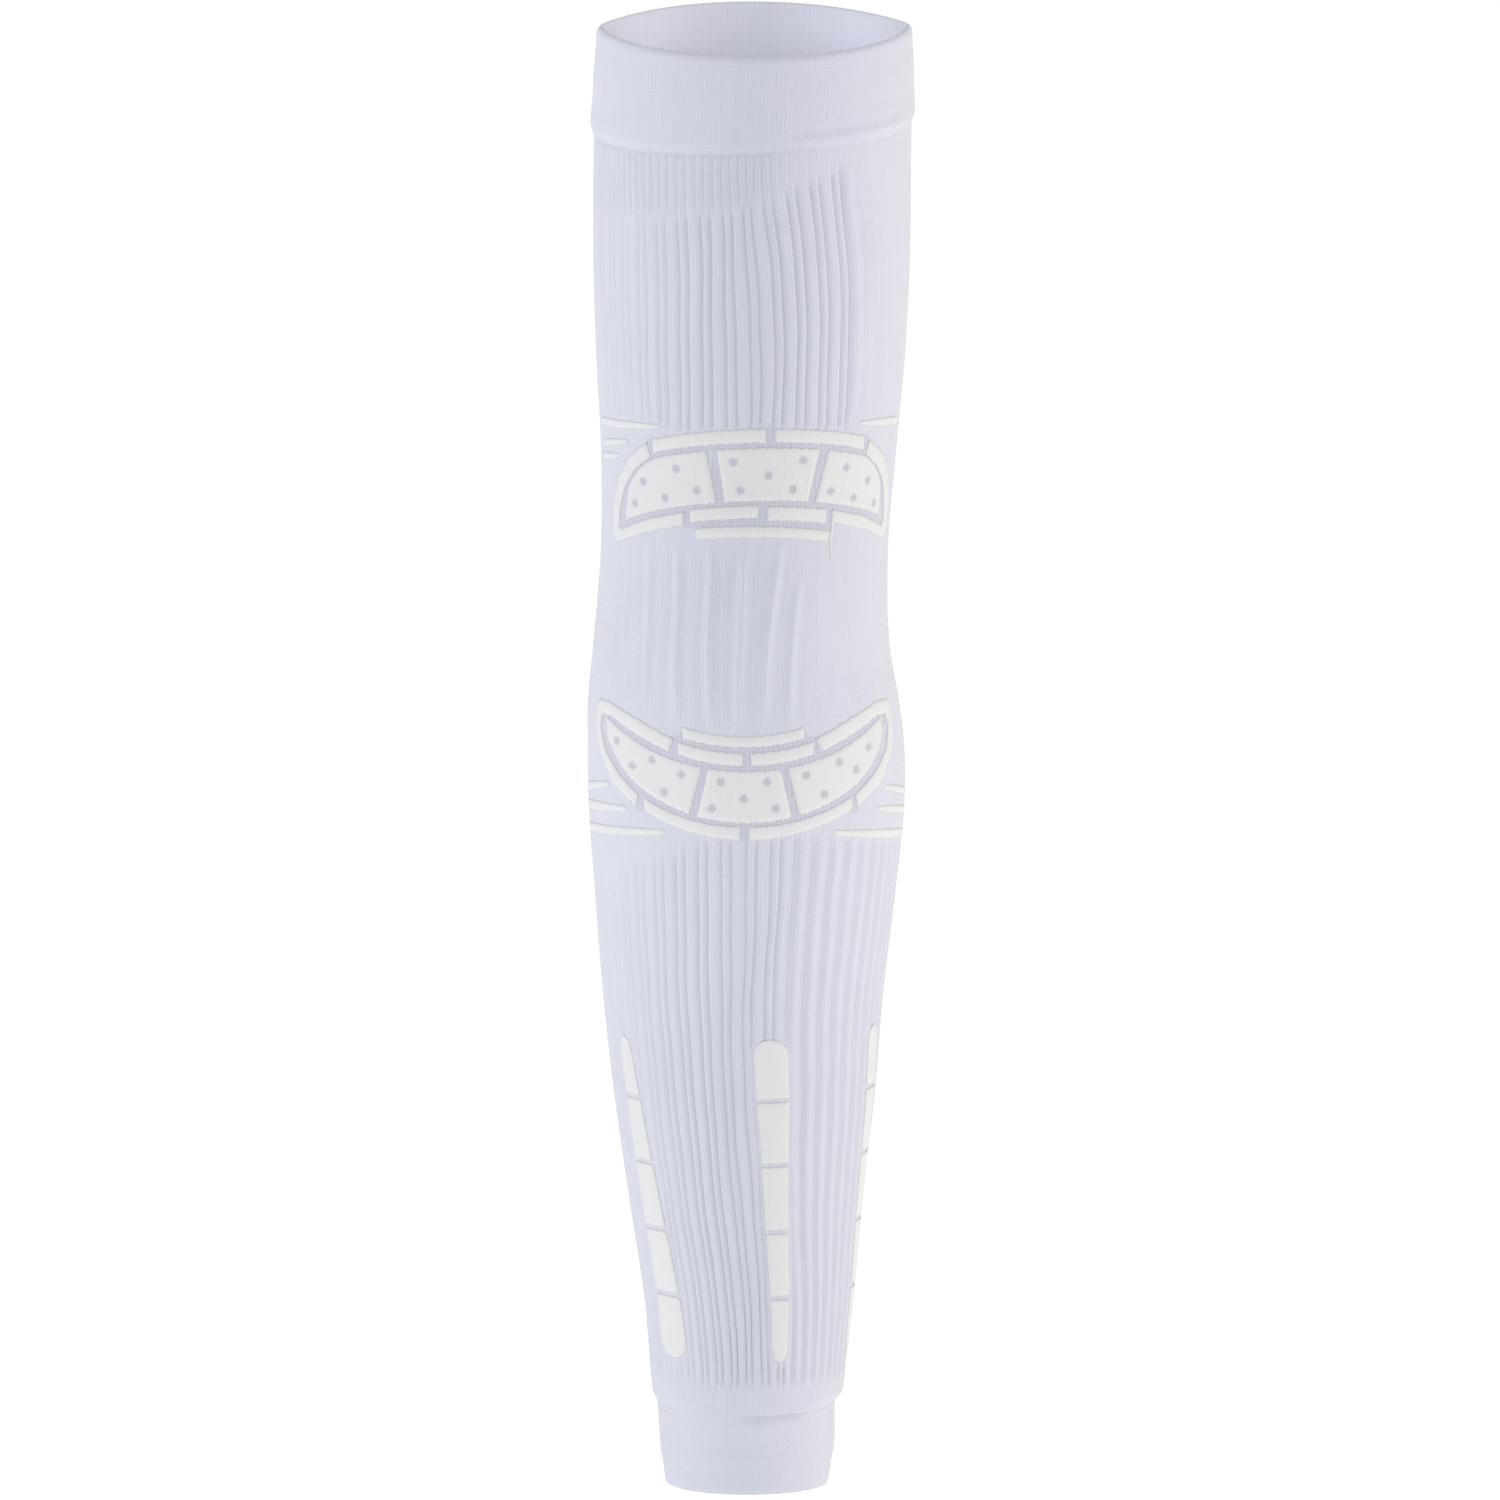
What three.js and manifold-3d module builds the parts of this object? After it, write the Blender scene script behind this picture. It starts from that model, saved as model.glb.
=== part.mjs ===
// Arm compression sleeve, in the shape it has on a straight arm: a doubled band round the upper arm, one
// ribbed knitted tube, a plain cuff at the wrist, and raised pads, bars and strips of a paler yarn on it.
// Millimetres, +Z up, front towards -Y. The origin is the centre of the upper opening, at its mean height.
// "turn" is the angle round the sleeve in degrees, 0 at the front and growing towards +X.
// "below" is the distance under the upper opening. "lift" is the distance out from the knitted surface.

import * as THREE from "three";
import { mergeVertices } from "three/addons/utils/BufferGeometryUtils.js";
import Module from "manifold-3d";

const BAND_HEIGHT = 29.8;
const BAND_WALL = 2.6;
const BAND_BULGE = 1;
const BAND_TILT = 2;
const RIM_RISE = 0.9;
const RIM_DIP_FRONT = 1.8;
const RIM_DIP_BACK = 0.6;
const CUFF_TOP = 410;
const CUFF_END = 433;
const CUFF_STEP = 1.2;
const CUFF_WALL = 1.6;
const KNIT_WALL = 1.7;
const JOIN_GAP = 0.3;

const RIB_PAIRS = 40;
const RIB_DEPTH = 0.6;
const PLEAT_HEIGHT = 0.7;
const PLEAT_EVERY = 3;

const PAD_GAP = 0.3;
const PAD_THICKNESS = 0.7;
const DOT_RADIUS = 1.25;
const DOT_SIDES = 6;

const RING_COLUMNS = 40;
const HOLLOW_COLUMNS = 36;
const SPAN = 8;
const LOOP_STEPS = 2;

// The arm shape: outside width and depth, sideways shift of the centre, and twist of the knitted ribs.
const SECTIONS = [
  { below: 0, width: 92, depth: 83, shift: 0.4, twist: -6 },
  { below: 36, width: 92.5, depth: 83.5, shift: -0.2, twist: -6 },
  { below: 65, width: 92.4, depth: 83, shift: -0.4, twist: -2 },
  { below: 95, width: 90.2, depth: 80.5, shift: -0.7, twist: 0 },
  { below: 125, width: 86.1, depth: 76.5, shift: -1.3, twist: 0 },
  { below: 154, width: 83.8, depth: 74, shift: -2.5, twist: 0 },
  { below: 184, width: 86.7, depth: 74.5, shift: -3.4, twist: 0 },
  { below: 200, width: 90.9, depth: 76, shift: -2.8, twist: 0 },
  { below: 214, width: 92.4, depth: 77, shift: -2, twist: 0 },
  { below: 230, width: 92.2, depth: 76.5, shift: -1.9, twist: 0 },
  { below: 258, width: 87.6, depth: 73, shift: -2.3, twist: 0 },
  { below: 288, width: 81.7, depth: 68, shift: -2.9, twist: 0 },
  { below: 317, width: 75.3, depth: 62.5, shift: -2.6, twist: 1 },
  { below: 347, width: 67.8, depth: 56.5, shift: -2.2, twist: 3.5 },
  { below: 377, width: 60.7, depth: 51, shift: -1.5, twist: 6.5 },
  { below: 405, width: 55.8, depth: 46.8, shift: -1.6, twist: 9 },
  { below: 433, width: 49.9, depth: 42, shift: -1.9, twist: 9 },
];

// Heights of the rings of facets on the outside and the inside of the ribbed tube.
const TUBE_RINGS = [50, 84, 110, 128, 147, 160, 184, 198, 212, 232, 248, 280, 315, 354, 388];
const HOLLOW_RINGS = [112, 155, 214, 258, 317, 377];

// One pair of ribs: where each line of the profile stands in the pair, and whether it is a ridge.
const RIB_LINES = [
  { part: 0, ridge: false },
  { part: 0.2, ridge: true },
  { part: 0.4, ridge: false },
  { part: 0.7, ridge: true },
];

// Section of the doubled band and of the cuff, from the rim round the outside to the inside.
const BAND_PROFILE = [
  { lift: -BAND_WALL / 2, below: 0 },
  { lift: -0.4, below: 0.4 },
  { lift: 0, below: 1.3 },
  { lift: 0.2, below: 18 },
  { lift: BAND_BULGE * 0.8, below: BAND_HEIGHT - 5 },
  { lift: BAND_BULGE, below: BAND_HEIGHT - 3 },
  { lift: BAND_BULGE * 0.6, below: BAND_HEIGHT - 0.8 },
  { lift: -0.2, below: BAND_HEIGHT },
  { lift: -KNIT_WALL, below: BAND_HEIGHT },
  { lift: -BAND_WALL, below: BAND_HEIGHT - 2 },
  { lift: -BAND_WALL, below: 1.3 },
  { lift: 0.4 - BAND_WALL, below: 0.4 },
];
const CUFF_PROFILE = [
  { lift: -CUFF_STEP - CUFF_WALL, below: CUFF_TOP },
  { lift: -CUFF_STEP, below: CUFF_TOP },
  { lift: -CUFF_STEP, below: CUFF_TOP + 8 },
  { lift: -CUFF_STEP - 0.15, below: CUFF_END - 4 },
  { lift: -CUFF_STEP - 0.55, below: CUFF_END - 1 },
  { lift: -CUFF_STEP - CUFF_WALL * 0.6, below: CUFF_END },
  { lift: -CUFF_STEP - CUFF_WALL + 0.3, below: CUFF_END - 0.6 },
  { lift: -CUFF_STEP - CUFF_WALL, below: CUFF_END - 3 },
];

// Bars that follow the two crescents. Each edge bows with the square of the turn from the crescent's centre.
const UPPER_CENTRE = 5;
const LOWER_CENTRE = 0;
const UPPER_BARS = [
  { name: "upper_bar_top_left", from: -40, to: 6.2, top: 112, height: 3.3, bend: 0.0024 },
  { name: "upper_bar_top_right", from: 9.8, to: 50, top: 112, height: 3.3, bend: 0.0024 },
  { name: "upper_bar_low_left", from: -23, to: 4.2, top: 135, height: 2.9, bend: 0.0024 },
  { name: "upper_bar_low_right", from: 8.2, to: 33, top: 135, height: 2.9, bend: 0.0024 },
  { name: "upper_bar_bottom", from: -20, to: 35, top: 141.2, height: 3.2, bend: 0.0024 },
];
const LOWER_BARS = [
  { name: "lower_bar_top", from: -23, to: 22.5, top: 203, height: 2.9, bend: -0.0042 },
  { name: "lower_bar_mid_left", from: -24.5, to: -1, top: 208.4, height: 2.6, bend: -0.0042 },
  { name: "lower_bar_mid_right", from: 2, to: 25, top: 208.4, height: 2.6, bend: -0.0042 },
  { name: "lower_bar_bottom_left", from: -39.5, to: -2.5, top: 231, height: 2.7, bend: -0.0045 },
  { name: "lower_bar_bottom_right", from: 1, to: 41, top: 231, height: 2.7, bend: -0.0045 },
];

// Pads between the bars: turns of the ends along the top and the bottom edge, and which end is a blunt tip.
const UPPER_PAD_EDGES = { top: 117.6, bottom: 133, topBend: 0.0024, bottomBend: 0.0024 };
const UPPER_PADS = [
  { name: "upper_pad_left", topFrom: -55, topTo: -17, bottomFrom: -56.5, bottomTo: -12.3, tip: "from" },
  { name: "upper_pad_middle", topFrom: -12.6, topTo: 28, bottomFrom: -9, bottomTo: 24.3, tip: "none" },
  { name: "upper_pad_right", topFrom: 32, topTo: 65, bottomFrom: 27.4, bottomTo: 66.5, tip: "to" },
];
const LOWER_PAD_EDGES = { top: 213, bottom: 228.6, topBend: -0.0033, bottomBend: -0.005 };
const LOWER_PADS = [
  { name: "lower_pad_left", topFrom: -61, topTo: -16.4, bottomFrom: -61, bottomTo: -21.2, tip: "from" },
  { name: "lower_pad_middle", topFrom: -13.8, topTo: 12.4, bottomFrom: -18.2, bottomTo: 16.4, tip: "none" },
  { name: "lower_pad_right", topFrom: 15.2, topTo: 61, bottomFrom: 19.4, bottomTo: 61, tip: "to" },
];
const UPPER_TIP = { length: 0.5, round: 0.62, side: "top" };
const LOWER_TIP = { length: 0.45, round: 0.5, side: "bottom" };

// Round dots that pierce the pads.
const DOTS = {
  upper_pad_left: [[-29, 124], [-45, 129], [-34, 133], [-20, 130], [-50, 136]],
  upper_pad_middle: [[-6, 121], [21, 121], [7.5, 125], [-3, 129.5], [17.5, 129.5]],
  upper_pad_right: [[41, 124.5], [54, 129.5], [34, 131], [46, 134], [60, 137]],
  lower_pad_left: [[-54, 207], [-45.5, 213.5], [-36, 211], [-24, 214.5], [-31, 220]],
  lower_pad_middle: [[-9, 216], [7.5, 216], [-1, 221], [-12.5, 224], [10.5, 224]],
  lower_pad_right: [[22, 214.5], [36, 211.5], [51, 208.5], [43.5, 214.5], [29, 220.5]],
};

// Borders that go round the tips of the pads, as the outer and the inner edge of the left one.
const UPPER_LOOP = [
  { outTurn: -48, outBelow: 117.8, inTurn: -46.5, inBelow: 121 },
  { outTurn: -58, outBelow: 122.6, inTurn: -55, inBelow: 125.4 },
  { outTurn: -66, outBelow: 129.6, inTurn: -62, inBelow: 131.2 },
  { outTurn: -70.5, outBelow: 138, inTurn: -66, inBelow: 138.6 },
  { outTurn: -71, outBelow: 146, inTurn: -66.5, inBelow: 144 },
  { outTurn: -67, outBelow: 148.6, inTurn: -64, inBelow: 145.2 },
  { outTurn: -48, outBelow: 143.6, inTurn: -48, inBelow: 140.6 },
  { outTurn: -30.5, outBelow: 140.2, inTurn: -30.5, inBelow: 137.2 },
];
const LOWER_LOOP = [
  { outTurn: -27, outBelow: 204.6, inTurn: -28.5, inBelow: 207.6 },
  { outTurn: -44, outBelow: 199.6, inTurn: -45, inBelow: 203 },
  { outTurn: -59, outBelow: 196.4, inTurn: -58, inBelow: 199.6 },
  { outTurn: -68, outBelow: 196.6, inTurn: -65, inBelow: 199.8 },
  { outTurn: -70.5, outBelow: 203, inTurn: -66.5, inBelow: 204 },
  { outTurn: -67, outBelow: 211, inTurn: -63, inBelow: 210.4 },
  { outTurn: -57, outBelow: 219.4, inTurn: -54, inBelow: 217 },
  { outTurn: -44, outBelow: 225.2, inTurn: -43, inBelow: 222.4 },
];

// Tapered rays beside the crescents, from the side of the sleeve to a narrow tip.
const RAYS = [
  { name: "upper_ray_left_1", from: -88, fromTop: 114.2, fromHeight: 3, to: -36, toTop: 111.4, toHeight: 1 },
  { name: "upper_ray_left_2", from: -88, fromTop: 121.6, fromHeight: 2, to: -53, toTop: 117.6, toHeight: 1 },
  { name: "upper_ray_left_3", from: -88, fromTop: 125.4, fromHeight: 2, to: -60, toTop: 122.6, toHeight: 1 },
  { name: "upper_ray_right_1", from: 88, fromTop: 114, fromHeight: 3, to: 47, toTop: 111.4, toHeight: 1 },
  { name: "lower_ray_left_1", from: -88, fromTop: 224.2, fromHeight: 2, to: -60, toTop: 220.4, toHeight: 1 },
  { name: "lower_ray_left_2", from: -88, fromTop: 229, fromHeight: 2.6, to: -48, toTop: 226.8, toHeight: 1 },
  { name: "lower_ray_left_3", from: -88, fromTop: 236, fromHeight: 2.8, to: -31, toTop: 232.6, toHeight: 1 },
  { name: "lower_ray_right_1", from: 88, fromTop: 225.6, fromHeight: 2, to: 60, toTop: 221, toHeight: 1 },
  { name: "lower_ray_right_2", from: 88, fromTop: 231, fromHeight: 2.6, to: 55, toTop: 227.2, toHeight: 1 },
  { name: "lower_ray_right_3", from: 88, fromTop: 238.4, fromHeight: 2.8, to: 33, toTop: 232.6, toHeight: 1 },
];

// Forearm strips: turns of both edges at the first and the last segment, and how much lower the strip starts.
const STRIPS = [
  { name: "strip_left", leftTop: -63.5, rightTop: -53.5, leftEnd: -58.5, rightEnd: -36.5, drop: 1.9 },
  { name: "strip_centre", leftTop: 3.6, rightTop: 18.8, leftEnd: 13.6, rightEnd: 23, drop: 0 },
  { name: "strip_right", leftTop: 65.5, rightTop: 74.5, leftEnd: 84, rightEnd: 99, drop: 0 },
];
const STRIP_SEGMENTS = [
  { from: 294, to: 311.8 },
  { from: 313.5, to: 331.4 },
  { from: 333.2, to: 351.8 },
  { from: 353.6, to: 372 },
  { from: 373.7, to: 392.4 },
];
const STRIP_ROUND = 0.3;

const knitColour = 0xd6d9e4;
const yarnColour = 0xe4e7e4;

const lerp = THREE.MathUtils.lerp;
const smoothstep = THREE.MathUtils.smoothstep;
const wasm = await Module();
wasm.setup();

const sectionCurve = new THREE.CubicInterpolant(
  SECTIONS.map((row) => row.below),
  SECTIONS.flatMap((row) => [row.width, row.depth, row.shift, row.twist]),
  4,
);

// The point of the sleeve at one turn and height, moved out square to its outline.
function pointOn(turn, below, lift) {
  const [width, depth, shift] = sectionCurve.evaluate(below);
  const angle = THREE.MathUtils.degToRad(turn);
  const outward = new THREE.Vector3(Math.sin(angle) * depth, -Math.cos(angle) * width, 0).normalize();
  const point = new THREE.Vector3(Math.sin(angle) * width, -Math.cos(angle) * depth, 0).multiplyScalar(0.5);
  return point.addScaledVector(outward, lift).add(new THREE.Vector3(shift, 0, -below));
}

// A geometry whose shared vertices are merged and whose faces point out.
function closed(geometry) {
  geometry.deleteAttribute("normal");
  geometry.deleteAttribute("uv");
  const merged = mergeVertices(geometry, 1e-4);
  const position = merged.getAttribute("position");
  const index = merged.getIndex();
  const corners = [new THREE.Vector3(), new THREE.Vector3(), new THREE.Vector3()];
  let volume = 0;
  for (let i = 0; i < index.count; i += 3) {
    corners.forEach((corner, k) => corner.fromBufferAttribute(position, index.getX(i + k)));
    volume += corners[0].dot(corners[1].cross(corners[2]));
  }
  if (volume < 0) {
    index.array.reverse();
  }
  merged.computeVertexNormals();
  return merged;
}

function solidFrom(geometry) {
  const vertProperties = new Float32Array(geometry.getAttribute("position").array);
  const triVerts = new Uint32Array(geometry.getIndex().array);
  return new wasm.Manifold(new wasm.Mesh({ numProp: 3, vertProperties, triVerts }));
}

function geometryFrom(solid) {
  const { vertProperties, triVerts } = solid.getMesh();
  const geometry = new THREE.BufferGeometry();
  geometry.setAttribute("position", new THREE.BufferAttribute(new Float32Array(vertProperties), 3));
  geometry.setIndex(new THREE.BufferAttribute(new Uint32Array(triVerts), 1));
  geometry.computeVertexNormals();
  return geometry;
}

// A turned ring whose every column and profile row is then set on the arm shape by place(column, row).
function ringGeometry(rowCount, columns, place) {
  const profile = Array.from({ length: rowCount }, (_, row) => new THREE.Vector2(1, row));
  const ring = new THREE.LatheGeometry(profile, columns);
  const uv = ring.getAttribute("uv");
  const position = ring.getAttribute("position");
  for (let i = 0; i < position.count; i += 1) {
    const column = Math.round(uv.getX(i) * columns) % columns;
    const row = Math.round(uv.getY(i) * (rowCount - 1));
    position.setXYZ(i, ...place(column, row).toArray());
  }
  return closed(ring);
}

// Height of the band's lower edge, which runs a little lower on the left side.
function bandEdge(turn) {
  return BAND_HEIGHT - BAND_TILT * Math.sin(THREE.MathUtils.degToRad(turn));
}

// Height of the upper rim, which is highest at the sides and dips most in front.
function bandRim(turn) {
  const across = Math.cos(THREE.MathUtils.degToRad(turn));
  return (across > 0 ? RIM_DIP_FRONT : RIM_DIP_BACK) * across ** 2 - RIM_RISE;
}

// A hollow ring of one section all round. heightAt(turn, below) sets each row of the section in its place.
function bandGeometry(profile, heightAt) {
  const rows = [...profile, profile[0]];
  return ringGeometry(rows.length, RING_COLUMNS, (column, row) => {
    const turn = (column * 360) / RING_COLUMNS;
    return pointOn(turn, heightAt(turn, rows[row].below), rows[row].lift);
  });
}

function bandHeight(turn, below) {
  return lerp(bandRim(turn), bandEdge(turn), below / BAND_HEIGHT);
}

// A full body of rings, closed by a centre point at its two ends.
function bodyGeometry(rings, columns, place) {
  const centreOf = (below) => new THREE.Vector3(sectionCurve.evaluate(below)[2], 0, -below);
  return ringGeometry(rings.length + 2, columns, (column, row) => {
    if (row === 0) {
      return centreOf(rings[0]);
    }
    if (row === rings.length + 1) {
      return centreOf(rings[rings.length - 1]);
    }
    return place(column, rings[row - 1]);
  });
}

// How strongly the ribs stand out: a panel on the front of the upper arm, and all round the forearm.
function ribStrength(turn, below) {
  const upperStart = 46 - 0.26 * turn;
  const upperDown = smoothstep(below, upperStart - 4, upperStart + 4) * (1 - smoothstep(below, 110, 117));
  const upperAcross = smoothstep(turn, -70, -62) * (1 - smoothstep(turn, 38, 43));
  const foreStart = 234 + 0.3 * Math.max(0, -6 - turn) * (turn > -60 ? 1 : 0);
  const foreDown = smoothstep(below, foreStart - 4, foreStart + 6) * (1 - smoothstep(below, 394, 402));
  return Math.max(upperDown * upperAcross, foreDown);
}

// Soft upright pleats over the elbow.
function pleatStrength(turn, below) {
  const down = smoothstep(below, 150, 160) * (1 - smoothstep(below, 186, 198));
  return down * smoothstep(turn, -52, -44) * (1 - smoothstep(turn, 26, 34));
}

// The ribbed tube: four lines to each pair of ribs, less the space for the arm.
function tubeGeometry() {
  const top = BAND_HEIGHT + JOIN_GAP;
  const end = CUFF_TOP - JOIN_GAP;
  const columns = RIB_PAIRS * RIB_LINES.length;
  const outside = bodyGeometry([top, ...TUBE_RINGS, end], columns, (column, below) => {
    const line = RIB_LINES[column % RIB_LINES.length];
    const pair = Math.floor(column / RIB_LINES.length) - RIB_PAIRS / 2;
    const knitTurn = ((pair + line.part) * 360) / RIB_PAIRS;
    const ridgeNumber = Math.floor(column / 2);
    const pleat = line.ridge && ridgeNumber % PLEAT_EVERY === 1 ? PLEAT_HEIGHT : 0;
    const groove = line.ridge ? 0 : -RIB_DEPTH;
    const lift = groove * ribStrength(knitTurn, below) + pleat * pleatStrength(knitTurn, below);
    const turn = knitTurn + sectionCurve.evaluate(below)[3];
    return pointOn(turn, below === top ? bandEdge(turn) + JOIN_GAP : below, lift);
  });
  const hollowRings = [top - 2 * BAND_TILT, ...HOLLOW_RINGS, end + CUFF_STEP];
  const hollow = bodyGeometry(hollowRings, HOLLOW_COLUMNS, (column, below) => {
    return pointOn((column * 360) / HOLLOW_COLUMNS, below, -KNIT_WALL - RIB_DEPTH);
  });
  return geometryFrom(solidFrom(outside).subtract(solidFrom(hollow)));
}

// A raised piece that lies on the knit. outline(s, t) gives its turn and height, s along and t across it.
function raisedGeometry(along, across, outline) {
  const block = new THREE.BoxGeometry(1, 1, 1, along, across, 1);
  const position = block.getAttribute("position");
  for (let i = 0; i < position.count; i += 1) {
    const { turn, below } = outline(position.getX(i) + 0.5, 0.5 - position.getY(i));
    const lift = PAD_GAP + PAD_THICKNESS * (position.getZ(i) + 0.5);
    position.setXYZ(i, ...pointOn(turn, below, lift).toArray());
  }
  return closed(block);
}

const stepsFor = (from, to) => Math.max(2, Math.ceil(Math.abs(to - from) / SPAN));

function barGeometry(bar, centre) {
  return raisedGeometry(stepsFor(bar.from, bar.to), 1, (s, t) => {
    const turn = lerp(bar.from, bar.to, s);
    const below = bar.top + bar.bend * (turn - centre) ** 2 + bar.height * t;
    return { turn, below };
  });
}

// A pad between two bowed edges. Towards a tip one of its edges curves in to the other.
function padGeometry(pad, edges, tip, centre) {
  const outline = (s, t) => {
    const turn = lerp(lerp(pad.topFrom, pad.topTo, s), lerp(pad.bottomFrom, pad.bottomTo, s), t);
    const away = (turn - centre) ** 2;
    const top = edges.top + edges.topBend * away;
    const bottom = edges.bottom + edges.bottomBend * away;
    const toTip = pad.tip === "from" ? s : 1 - s;
    const near = pad.tip === "none" ? 0 : Math.max(0, 1 - toTip / tip.length);
    const inset = tip.round * (1 - Math.sqrt(1 - near * near));
    const share = tip.side === "top" ? lerp(inset, 1, t) : lerp(inset * 0.25, 1 - inset, t);
    return { turn, below: lerp(top, bottom, share) };
  };
  const flat = raisedGeometry(stepsFor(pad.topFrom, pad.topTo), 1, outline);
  const cutters = DOTS[pad.name].map(([turn, below]) => {
    const inner = pointOn(turn, below, 0);
    const outer = pointOn(turn, below, 1);
    const pin = new THREE.CylinderGeometry(DOT_RADIUS, DOT_RADIUS, SPAN, DOT_SIDES);
    const upright = new THREE.Vector3(0, 1, 0);
    pin.applyQuaternion(new THREE.Quaternion().setFromUnitVectors(upright, outer.sub(inner)));
    pin.translate(inner.x, inner.y, inner.z);
    return solidFrom(closed(pin));
  });
  return geometryFrom(cutters.reduce((solid, cutter) => solid.subtract(cutter), solidFrom(flat)));
}

// A border round one tip: side is 1 for the left one and -1 for its mirror image on the right.
function loopGeometry(rows, centre, side) {
  const spans = rows.length - 1;
  return raisedGeometry(spans * LOOP_STEPS, 1, (s, t) => {
    const number = Math.min(spans - 1, Math.floor(s * spans));
    const between = (column) => lerp(rows[number][column], rows[number + 1][column], s * spans - number);
    const turn = centre + side * lerp(between("outTurn"), between("inTurn"), t);
    return { turn, below: lerp(between("outBelow"), between("inBelow"), t) };
  });
}

function rayGeometry(ray) {
  return raisedGeometry(stepsFor(ray.from, ray.to), 1, (s, t) => {
    const below = lerp(ray.fromTop, ray.toTop, s) + lerp(ray.fromHeight, ray.toHeight, s) * t;
    return { turn: lerp(ray.from, ray.to, s), below };
  });
}

// One segment of a forearm strip. The strip's two outer ends are rounded.
function stripGeometry(strip, number) {
  const first = STRIP_SEGMENTS[0].from;
  const last = STRIP_SEGMENTS[STRIP_SEGMENTS.length - 1].to;
  const { from, to } = STRIP_SEGMENTS[number];
  const rounded = number === 0 || number === STRIP_SEGMENTS.length - 1;
  return raisedGeometry(3, rounded ? 4 : 2, (s, t) => {
    const along = (lerp(from, to, t) - first) / (last - first);
    const below = lerp(first + strip.drop, last, along);
    const left = lerp(strip.leftTop, strip.leftEnd, along);
    const right = lerp(strip.rightTop, strip.rightEnd, along);
    const toEnd = number === 0 ? t : 1 - t;
    const near = rounded ? Math.max(0, 1 - toEnd / STRIP_ROUND) : 0;
    const narrow = 1 - 0.7 * near * near;
    return { turn: lerp(left, right, 0.5 + (s - 0.5) * narrow), below };
  });
}

const sleeve = new THREE.Group();

function addPiece(name, geometry, color, roughness) {
  const material = new THREE.MeshStandardMaterial({ color, roughness, metalness: 0 });
  const piece = new THREE.Mesh(geometry, material);
  piece.name = name;
  sleeve.add(piece);
}

addPiece("top_band", bandGeometry(BAND_PROFILE, bandHeight), knitColour, 0.9);
addPiece("knit_sleeve", tubeGeometry(), knitColour, 0.92);
addPiece("wrist_cuff", bandGeometry(CUFF_PROFILE, (turn, below) => below), knitColour, 0.9);

for (const bar of UPPER_BARS) {
  addPiece(bar.name, barGeometry(bar, UPPER_CENTRE), yarnColour, 0.85);
}
for (const bar of LOWER_BARS) {
  addPiece(bar.name, barGeometry(bar, LOWER_CENTRE), yarnColour, 0.85);
}
for (const pad of UPPER_PADS) {
  addPiece(pad.name, padGeometry(pad, UPPER_PAD_EDGES, UPPER_TIP, UPPER_CENTRE), yarnColour, 0.85);
}
for (const pad of LOWER_PADS) {
  addPiece(pad.name, padGeometry(pad, LOWER_PAD_EDGES, LOWER_TIP, LOWER_CENTRE), yarnColour, 0.85);
}
addPiece("upper_loop_left", loopGeometry(UPPER_LOOP, UPPER_CENTRE, 1), yarnColour, 0.85);
addPiece("upper_loop_right", loopGeometry(UPPER_LOOP, UPPER_CENTRE, -1), yarnColour, 0.85);
addPiece("lower_loop_left", loopGeometry(LOWER_LOOP, LOWER_CENTRE, 1), yarnColour, 0.85);
addPiece("lower_loop_right", loopGeometry(LOWER_LOOP, LOWER_CENTRE, -1), yarnColour, 0.85);
for (const ray of RAYS) {
  addPiece(ray.name, rayGeometry(ray), yarnColour, 0.85);
}
for (const strip of STRIPS) {
  for (let number = 0; number < STRIP_SEGMENTS.length; number += 1) {
    addPiece(`${strip.name}_${number + 1}`, stripGeometry(strip, number), yarnColour, 0.85);
  }
}

export default sleeve;
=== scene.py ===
# %% [markdown]
# # A knitted arm compression sleeve
# The sleeve is one knitted tube that grips the arm from the upper arm to the wrist. It is built here in
# the shape it has when worn: a doubled band at the top, a ribbed tube, a plain cuff, and raised pads of a
# paler yarn round the elbow and down the forearm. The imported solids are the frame, and each new piece
# stands in for one of them.

# %% Load the frame
import math

import bpy
import numpy as np
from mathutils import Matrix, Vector


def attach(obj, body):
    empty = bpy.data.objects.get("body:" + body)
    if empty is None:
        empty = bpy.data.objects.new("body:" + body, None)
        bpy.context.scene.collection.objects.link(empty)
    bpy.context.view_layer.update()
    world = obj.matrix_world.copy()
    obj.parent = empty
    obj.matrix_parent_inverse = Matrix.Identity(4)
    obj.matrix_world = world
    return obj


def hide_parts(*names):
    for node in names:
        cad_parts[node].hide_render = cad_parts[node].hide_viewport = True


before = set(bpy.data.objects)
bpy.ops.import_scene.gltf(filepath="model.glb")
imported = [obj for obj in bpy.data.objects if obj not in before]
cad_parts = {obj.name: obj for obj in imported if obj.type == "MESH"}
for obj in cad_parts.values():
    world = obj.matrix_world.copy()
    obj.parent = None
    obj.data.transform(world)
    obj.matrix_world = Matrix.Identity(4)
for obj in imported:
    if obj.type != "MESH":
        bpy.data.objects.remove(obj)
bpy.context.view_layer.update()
bpy.ops.object.select_all(action="DESELECT")
MM = 0.001

# %% [markdown]
# ## The arm under the cloth
# Tight cloth has the shape of what it covers, so everything starts from the arm. That shape could be
# sculpted, but a table is easier to read and to correct. It gives the outside width and depth of the
# sleeve at some heights, how far its centre is shifted to the side, and how far the knitted ribs twist. A
# smooth curve through each column gives every height between. Angles round the arm are called turns: 0 is
# the front, and they grow towards the right hand of the viewer. Heights are counted down from the upper
# opening.

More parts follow.
